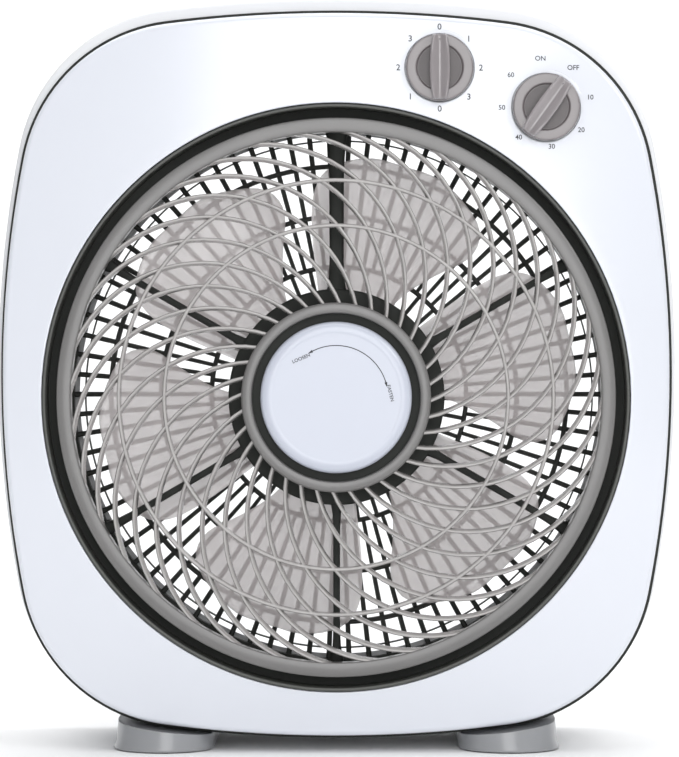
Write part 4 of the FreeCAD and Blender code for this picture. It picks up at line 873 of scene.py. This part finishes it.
def makeSpider():
    s = spider
    front, back = spiderLow.y + 4.0 * mm, spiderHigh.y
    slim = [(0.0, 4.2), (0.04, 3.1), (0.09, 2.35), (0.16, 2.1), (0.28, 1.95), (0.70, 1.95), (0.80, 2.1),
            (0.87, 2.5),
            (0.93, 3.5), (0.97, 4.5), (1.0, 5.6)]
    wide = [(0.0, 6.4), (0.04, 5.3), (0.10, 4.5), (0.2, 4.1), (0.7, 4.3), (0.82, 4.8), (0.91, 5.6),
            (1.0, 7.4)]
    parts = [makeStrut("strut%d" % i, slim, 30 + 60 * i) for i in range(s["struts"]) if i != 1]
    parts.append(makeStrut("cableStrut", wide, 90))
    parts.append(softenEdges(turnProfile("spiderRing", [
        (front, s["inner"] * mm), (front, s["outer"] * mm), (back, s["outer"] * mm), (back,
                                                                                      s["inner"] * mm)],
        steps=192), 0.8))
    discFront = back - s["depth"] * mm
    parts.append(softenEdges(turnProfile("spiderDisc", [
        (discFront + 1.0 * mm, s["disc"] * mm), (discFront, (s["disc"] - 2.0) * mm), (discFront,
                                                                                      s["boss"] * mm + 0.03),
        (discFront + 0.8 * mm, s["boss"] * mm + 0.028), (discFront + 0.8 * mm, s["boss"] * mm),
        (discFront - s["bossRise"] * mm, s["boss"] * mm), (discFront - s["bossRise"] * mm, s["seat"] * mm),
        (discFront + s["discThick"] * mm, s["seat"] * mm), (discFront + s["discThick"] * mm,
                                                            s["motorRoom"] * mm),
        (discFront + s["skirt"] * mm, s["motorRoom"] * mm), (discFront + s["skirt"] * mm, s["disc"] * mm)],
        steps=128), 0.5))
    lug = softenEdges(drillBlock("lug", (-15, 15), (back - 4.0 * mm, back), (166.0, 198.0)), 1.0)
    piece = joinPieces("spiderFrame", parts + [lug])
    settle(piece, "housing", "dark_plastic", finish["spiderDark"], "front_spider")


# a block above the fan's axis, to be rounded by the caller
def drillBlock(name, xSpan, ySpan, upSpan):
    deselect()
    bpy.ops.mesh.primitive_cube_add(size=1)
    piece = bpy.context.object
    piece.name = piece.data.name = name
    low = Vector((xSpan[0] * mm, ySpan[0], fanZ + upSpan[0] * mm))
    high = Vector((xSpan[1] * mm, ySpan[1], fanZ + upSpan[1] * mm))
    for vert in piece.data.vertices:
        vert.co = Vector(h if c > 0 else l for c, l, h in zip(vert.co, low, high))
    return piece


# blades: stations of radius, clockwise edge and counter-clockwise edge in degrees
blade = dict(count=6, thick=2.2, middle=134.0, hub=60.0, hubWall=2.5, hubLength=34.0, boss=11.0,
             bossLength=14.0,
             stations=[(57.0, 119.0, 160.4), (65.7, 118.0, 159.9), (74.6, 115.9, 159.7),
                       (84.8, 112.9, 159.4),
                       (99.7, 109.0, 158.7), (108.6, 106.4, 158.1), (118.2, 105.8, 157.2), (127.2, 107.3,
                                                                                            155.4),
                       (133.7, 110.4, 153.2), (138.6, 116.6, 149.2), (141.6, 122.6, 144.0), (142.4, 126.0,
                                                                                             139.6)],
             acrossSteps=16, rootPitch=36.0, tipPitch=19.0, camber=3.2)


def makeBlades():
    b = blade
    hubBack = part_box("impeller")[1].y - b["bossLength"] * mm
    middleY = hubBack - b["hubLength"] / 2 * mm
    rows, columns = len(b["stations"]), b["acrossSteps"] + 1
    deselect()
    bpy.ops.mesh.primitive_grid_add(x_subdivisions=columns - 1, y_subdivisions=rows - 1, size=0.1)
    piece = bpy.context.object
    piece.name = piece.data.name = "blade"
    order = sorted(piece.data.vertices, key=lambda v: (round(v.co.y, 5), round(v.co.x, 5)))
    first, last = b["stations"][0][0], b["stations"][-1][0]
    for index, vert in enumerate(order):
        radius, low, high = b["stations"][index // columns]
        share = (index % columns) / (columns - 1)
        angle = low + (high - low) * share
        outward = (radius - first) / (last - first)
        pitch = math.radians(b["rootPitch"] + (b["tipPitch"] - b["rootPitch"]) * outward)
        along = math.radians(b["middle"] - angle) * radius   # positive towards the clockwise edge
        chord = math.radians(high - low) * radius
        bow = b["camber"] * (1 - (2 * along / max(chord, 1)) ** 2)
        y = middleY + (along * math.tan(pitch) + bow) * mm
        vert.co = Vector((radius * mm * math.cos(math.radians(angle)), y,
                          fanZ + radius * mm * math.sin(math.radians(angle))))
    pickOnly(piece)
    for kind, settings in (("SOLIDIFY", dict(thickness=b["thick"] * mm, offset=0.0)),
                           ("SUBSURF", dict(levels=1, render_levels=1))):
        step = piece.modifiers.new(kind.lower(), kind)
        for key, value in settings.items():
            setattr(step, key, value)
        bpy.ops.object.modifier_apply(modifier=step.name)
    bpy.ops.object.shade_smooth_by_angle(angle=math.radians(50))
    repeatRound(piece, b["count"])
    hub, wall = b["hub"] * mm, b["hubWall"] * mm
    front = hubBack - b["hubLength"] * mm
    cup = turnProfile("hubCup", [
        (front, hub - wall), (hubBack - wall, hub - wall), (hubBack - wall, 4.0 * mm),
        (hubBack + b["bossLength"] * mm, 4.0 * mm), (hubBack + b["bossLength"] * mm, b["boss"] * mm),
        (hubBack, b["boss"] * mm), (hubBack, hub - 5.0 * mm), (hubBack - 1.5 * mm, hub - 1.5 * mm),
        (hubBack - 5.0 * mm, hub), (front, hub)], steps=128)
    softenEdges(cup, 0.5)
    whole = joinPieces("bladeSet", [piece, cup])
    settle(whole, "blade_unit", "clear_blades", finish["bladeMilk"], "impeller")


# rear grille
rear = dict(slats=82, hoops=(78.6, 109.8, 140.7), hoopWidth=2.8, thinHoop=156.5, rimInner=163.2, ear=4.6,
            rimOuter=167.7,
            disc=44.0, depth=6.5, rimDepth=8.0)


def makeSlats(name, stations, count, turn):
    back = rearHigh.y - 0.4 * mm
    front = back - rear["depth"] * mm + 0.9 * mm
    section = [(-1, 0.12), (-0.7, 0.0), (0.7, 0.0), (1, 0.12), (1, 0.86), (0.55, 1.0), (-0.55, 1.0),
               (-1, 0.86)]

    def stationAt(reach, width):
        def place(point):
            return Vector((point[0] * width / 2 * mm, back + (front - back) * point[1], fanZ + reach * mm))
        return place
    slat = barFrom(name, section, [stationAt(reach, width) for reach, width in stations])
    turnPiece(slat, turn)
    repeatRound(slat, count)
    return slat


def makeRearGrille():
    r = rear
    pitch = 360.0 / r["slats"]
    parts = [makeSlats("outerSlat", [(r["hoops"][0] - 0.3, 2.4), (120, 2.8), (r["rimInner"] + 1, 3.2)],
                       r["slats"], 0.5 * pitch),
             makeSlats("innerSlat", [(r["disc"] - 1.5, 2.6), (r["hoops"][0] + 0.3, 2.6)], r["slats"] // 2,
                       pitch)]
    back = rearHigh.y
    front = back - r["depth"] * mm

    def hoop(low, high, start, end):
        soft = min(0.5 * mm, (high - low) / 3)
        return turnProfile("hoop", [
            (start + soft, low), (start, low + soft), (start, high - soft), (start + soft, high),
            (end - soft, high), (end, high - soft), (end, low + soft), (end - soft, low)], steps=164)
    for reach in r["hoops"]:
        parts.append(hoop((reach - r["hoopWidth"] / 2) * mm, (reach + r["hoopWidth"] / 2) * mm, front,
                          back))
    parts.append(hoop((r["thinHoop"] - 0.4) * mm, (r["thinHoop"] + 0.4) * mm, front + 1.0 * mm, back))
    parts.append(hoop(r["rimInner"] * mm, r["rimOuter"] * mm, back - r["rimDepth"] * mm, back))
    disc = r["disc"] * mm
    for x, z in rearScrewPlaces():
        parts.append(turnProfile("screwEar", [
            (back - r["rimDepth"] * mm, 1.4 * mm), (back - r["rimDepth"] * mm, r["ear"] * mm),
            (back, r["ear"] * mm), (back, 1.4 * mm)], Vector((x, 0, z)), 32))
    parts.append(turnProfile("rearDisc", [
        (front, 0.0), (front, disc), (back - 1.0 * mm, disc), (back, disc - 1.0 * mm), (back,
                                                                                        disc - 5.0 * mm),
        (back - 1.4 * mm, disc - 7.0 * mm), (back - 1.4 * mm, 0.0)], steps=96))
    piece = softenEdges(joinPieces("rearGuard", parts), 0, smooth=40)
    settle(piece, "housing", "dark_plastic", finish["rearDark"], "rear_grille")


# feet
foot = dict(inner=71.2, outer=130.5, lean=4.5, lift=0.5, round=1.6, front=2.0, length=139.0, noseSteps=24)


# the height of the rear shell's lowest surface above a place across the fan
def shellUnderside(x):
    radius = outline["topArc"] + shell["sideGrow"]
    bottom = plateZ / mm + shell["lift"] - outline["halfHeight"] - shell["tallGrow"]
    return bottom + radius - math.sqrt(radius ** 2 - x ** 2)


def makeFoot(name, side):
    f = foot
    start = frontY + f["front"] * mm
    corner = 5.0

    def footLoop(height, inset, atShell=False):
        low, high = f["inner"] + inset, f["outer"] - inset - f["lean"] * max(0.0, height) / 14
        nose, middle = (high - low) / 2, (high + low) / 2
        far = start / mm + f["length"] - inset
        near = start / mm + (f["outer"] - f["inner"]) / 2
        points = []
        for cx, turn in ((high - corner, 0), (low + corner, 90)):
            for step in range(7):
                angle = math.radians(turn + 15 * step)
                points.append((cx + corner * math.cos(angle), far - corner + corner * math.sin(angle)))
        for step in range(f["noseSteps"] + 1):   # the front of the foot is a half circle
            angle = math.radians(180 + 180 * step / f["noseSteps"])
            points.append((middle + nose * math.cos(angle), near + nose * math.sin(angle)))
        bow = []
        for x, y in points:
            z = f["lift"] + height
            if atShell:   # lower in front of the shell, to clear the cover and the seam strip
                z = shellUnderside(x) - (0.15 if y * mm > coverBack else 1.75)
            bow.append(Vector((side * x * mm, y * mm, z * mm)))
        return bow
    loops = [footLoop(0, f["round"]), footLoop(0.1, f["round"] * 0.45), footLoop(0.7, f["round"] * 0.1),
             footLoop(1.8, 0), footLoop(5, 0.1), footLoop(8, 0.25, True)]
    piece = loftLoops(name, loops, closed=False)
    softenEdges(piece, 0.3, smooth=35)
    node = "foot_left" if side < 0 else "foot_right"
    settle(piece, "housing", "grey_plastic", finish["footGrey"], node)


# cord gland and the screws that show at the back
def makeGland():
    centre = Vector((shell["glandX"] * mm, 0, shell["glandZ"] * mm))
    back = backY
    ring = turnProfile("inletGland", [
        (back - 20 * mm, 3.6 * mm), (back - 1.2 * mm, 3.6 * mm), (back, 4.8 * mm), (back, 8.6 * mm),
        (back - 0.5 * mm, 9.7 * mm), (back - 1.4 * mm, 10.0 * mm), (back - 1.5 * mm, 8.0 * mm),
        (back - 20 * mm, 8.0 * mm)], centre, 64)
    softenEdges(ring, 0.25)
    settle(ring, "housing", "dark_plastic", finish["rearDark"], "cord_gland")


def makeRearScrews():
    heads = []
    for x, z in rearScrewPlaces():
        centre = Vector((x, 0, z))
        head = turnProfile("screwHead", [
            (backY - 8.4 * mm, 0.0), (backY - 8.4 * mm, 1.5 * mm), (backY - 1.8 * mm, 1.5 * mm),
            (backY - 1.8 * mm, 2.7 * mm), (backY - 0.7 * mm, 2.7 * mm), (backY - 0.2 * mm, 2.1 * mm),
            (backY - 0.1 * mm, 1.2 * mm), (backY - 0.1 * mm, 0.0)], centre, 32)
        cross = []
        for wide, tall in ((2.6, 0.6), (0.6, 2.6)):
            deselect()
            bpy.ops.mesh.primitive_cube_add(size=1, location=(x, backY, z),
                                            scale=(wide * mm, 1.6 * mm, tall * mm))
            bpy.ops.object.transform_apply(location=True, rotation=True, scale=True)
            cross.append(bpy.context.object)
        for slot in cross:
            cutAway(head, [slot])
        heads.append(head)
    piece = softenEdges(joinPieces("rearScrews", heads), 0)
    settle(piece, "housing", "zinc_steel", finish["zincSteel"], "rear_grille_screws")


makeCover()
makeCups()
print("cover made")
makeRearShell()
makeSeamTrim()
makeBezelAndDuct()
print("shell made")
makeGrille()
makeCap()
makeCapPrint()
makeDialPrint()
print("grille and cap made")
for controlName, controlPlace in controls.items():
    makeKnob(controlName, controlPlace)
makeSpider()
makeBlades()
makeRearGrille()
print("blades and guards made")
makeFoot("leftFoot", -1)
makeFoot("rightFoot", 1)
makeGland()
makeRearScrews()
print("feet and small parts made")


# studio: a pale floor that curves up into a backdrop, four soft lights
studio = dict(floorWidth=6.0, floorFront=-4.0, wallY=1.6, wallHeight=4.0, bend=0.8)


def makeBackdrop():
    profile = [(studio["floorFront"], 0.0), (studio["wallY"] - studio["bend"], 0.0)]
    for step in range(1, 9):
        angle = math.radians(90 * step / 8)
        profile.append((studio["wallY"] - studio["bend"] * (1 - math.sin(angle)),
                        studio["bend"] * (1 - math.cos(angle))))
    profile.append((studio["wallY"], studio["wallHeight"]))
    half = studio["floorWidth"] / 2
    piece = startPoint("studioFloor", Vector((-half, profile[0][0], profile[0][1])))
    drawProfile([Vector((-half, y, z)) for y, z in profile])
    bpy.ops.mesh.select_all(action="SELECT")
    bpy.ops.mesh.extrude_region_move(TRANSFORM_OT_translate={"value": (studio["floorWidth"], 0, 0)})
    bpy.ops.object.mode_set(mode="OBJECT")
    bpy.ops.object.shade_smooth()
    pale = makeFinish("floorPale",
                      dict(colour=(0.93, 0.93, 0.93), spread=0.005, mottle=2, rough=0.8, bump=0.0))
    piece.data.materials.append(pale)


def addLight(name, place, aim, width, height, power):
    light = bpy.data.lights.new(name, "AREA")
    light.shape = "RECTANGLE"
    light.size, light.size_y = width, height
    light.energy = power
    lamp = bpy.data.objects.new(name, light)
    bpy.context.scene.collection.objects.link(lamp)
    lamp.location = place
    lamp.rotation_euler = (Vector(aim) - Vector(place)).to_track_quat("-Z", "Y").to_euler()


view = dict(distance=2.0, x=0.025, z=0.234, height=436.032, middleX=0.002, middleZ=0.2166)   # height in mm


def makeCamera():
    lens = bpy.data.cameras.new("frontView")
    camera = bpy.data.objects.new("frontView", lens)
    bpy.context.scene.collection.objects.link(camera)
    distance = view["distance"]
    camera.location = (view["x"], frontY - distance, view["z"])
    camera.rotation_euler = (math.pi / 2, 0, 0)
    tall = view["height"] * mm
    lens.sensor_fit = "VERTICAL"
    lens.sensor_height = 24
    lens.lens = lens.sensor_height * distance / tall
    lens.shift_x = (view["middleX"] - camera.location.x) / tall
    lens.shift_y = (view["middleZ"] - camera.location.z) / tall
    lens.clip_start, lens.clip_end = 0.05, 50
    bpy.context.scene.camera = camera


makeBackdrop()
makeCamera()
addLight("stripLight", (0.12, -2.35, 0.35), (0, 0, 0.22), 1.1, 2.4, 34)
addLight("cornerLight", (1.3, -1.5, 1.3), (0, 0, 0.25), 0.7, 0.7, 11)
addLight("topLight", (0, -0.5, 2.4), (0, -0.2, 0.2), 2.4, 2.0, 20)
addLight("wallLight", (0, 0.55, 2.1), (0, 1.6, 0.3), 3.0, 0.8, 26)
world = bpy.data.worlds.new("studioSky")
bpy.context.scene.world = world
world.use_nodes = True
world.node_tree.nodes["Background"].inputs["Color"].default_value = (0.95, 0.97, 1.0, 1)
world.node_tree.nodes["Background"].inputs["Strength"].default_value = 0.42
bpy.context.scene.view_settings.view_transform = "Standard"
print("studio made")
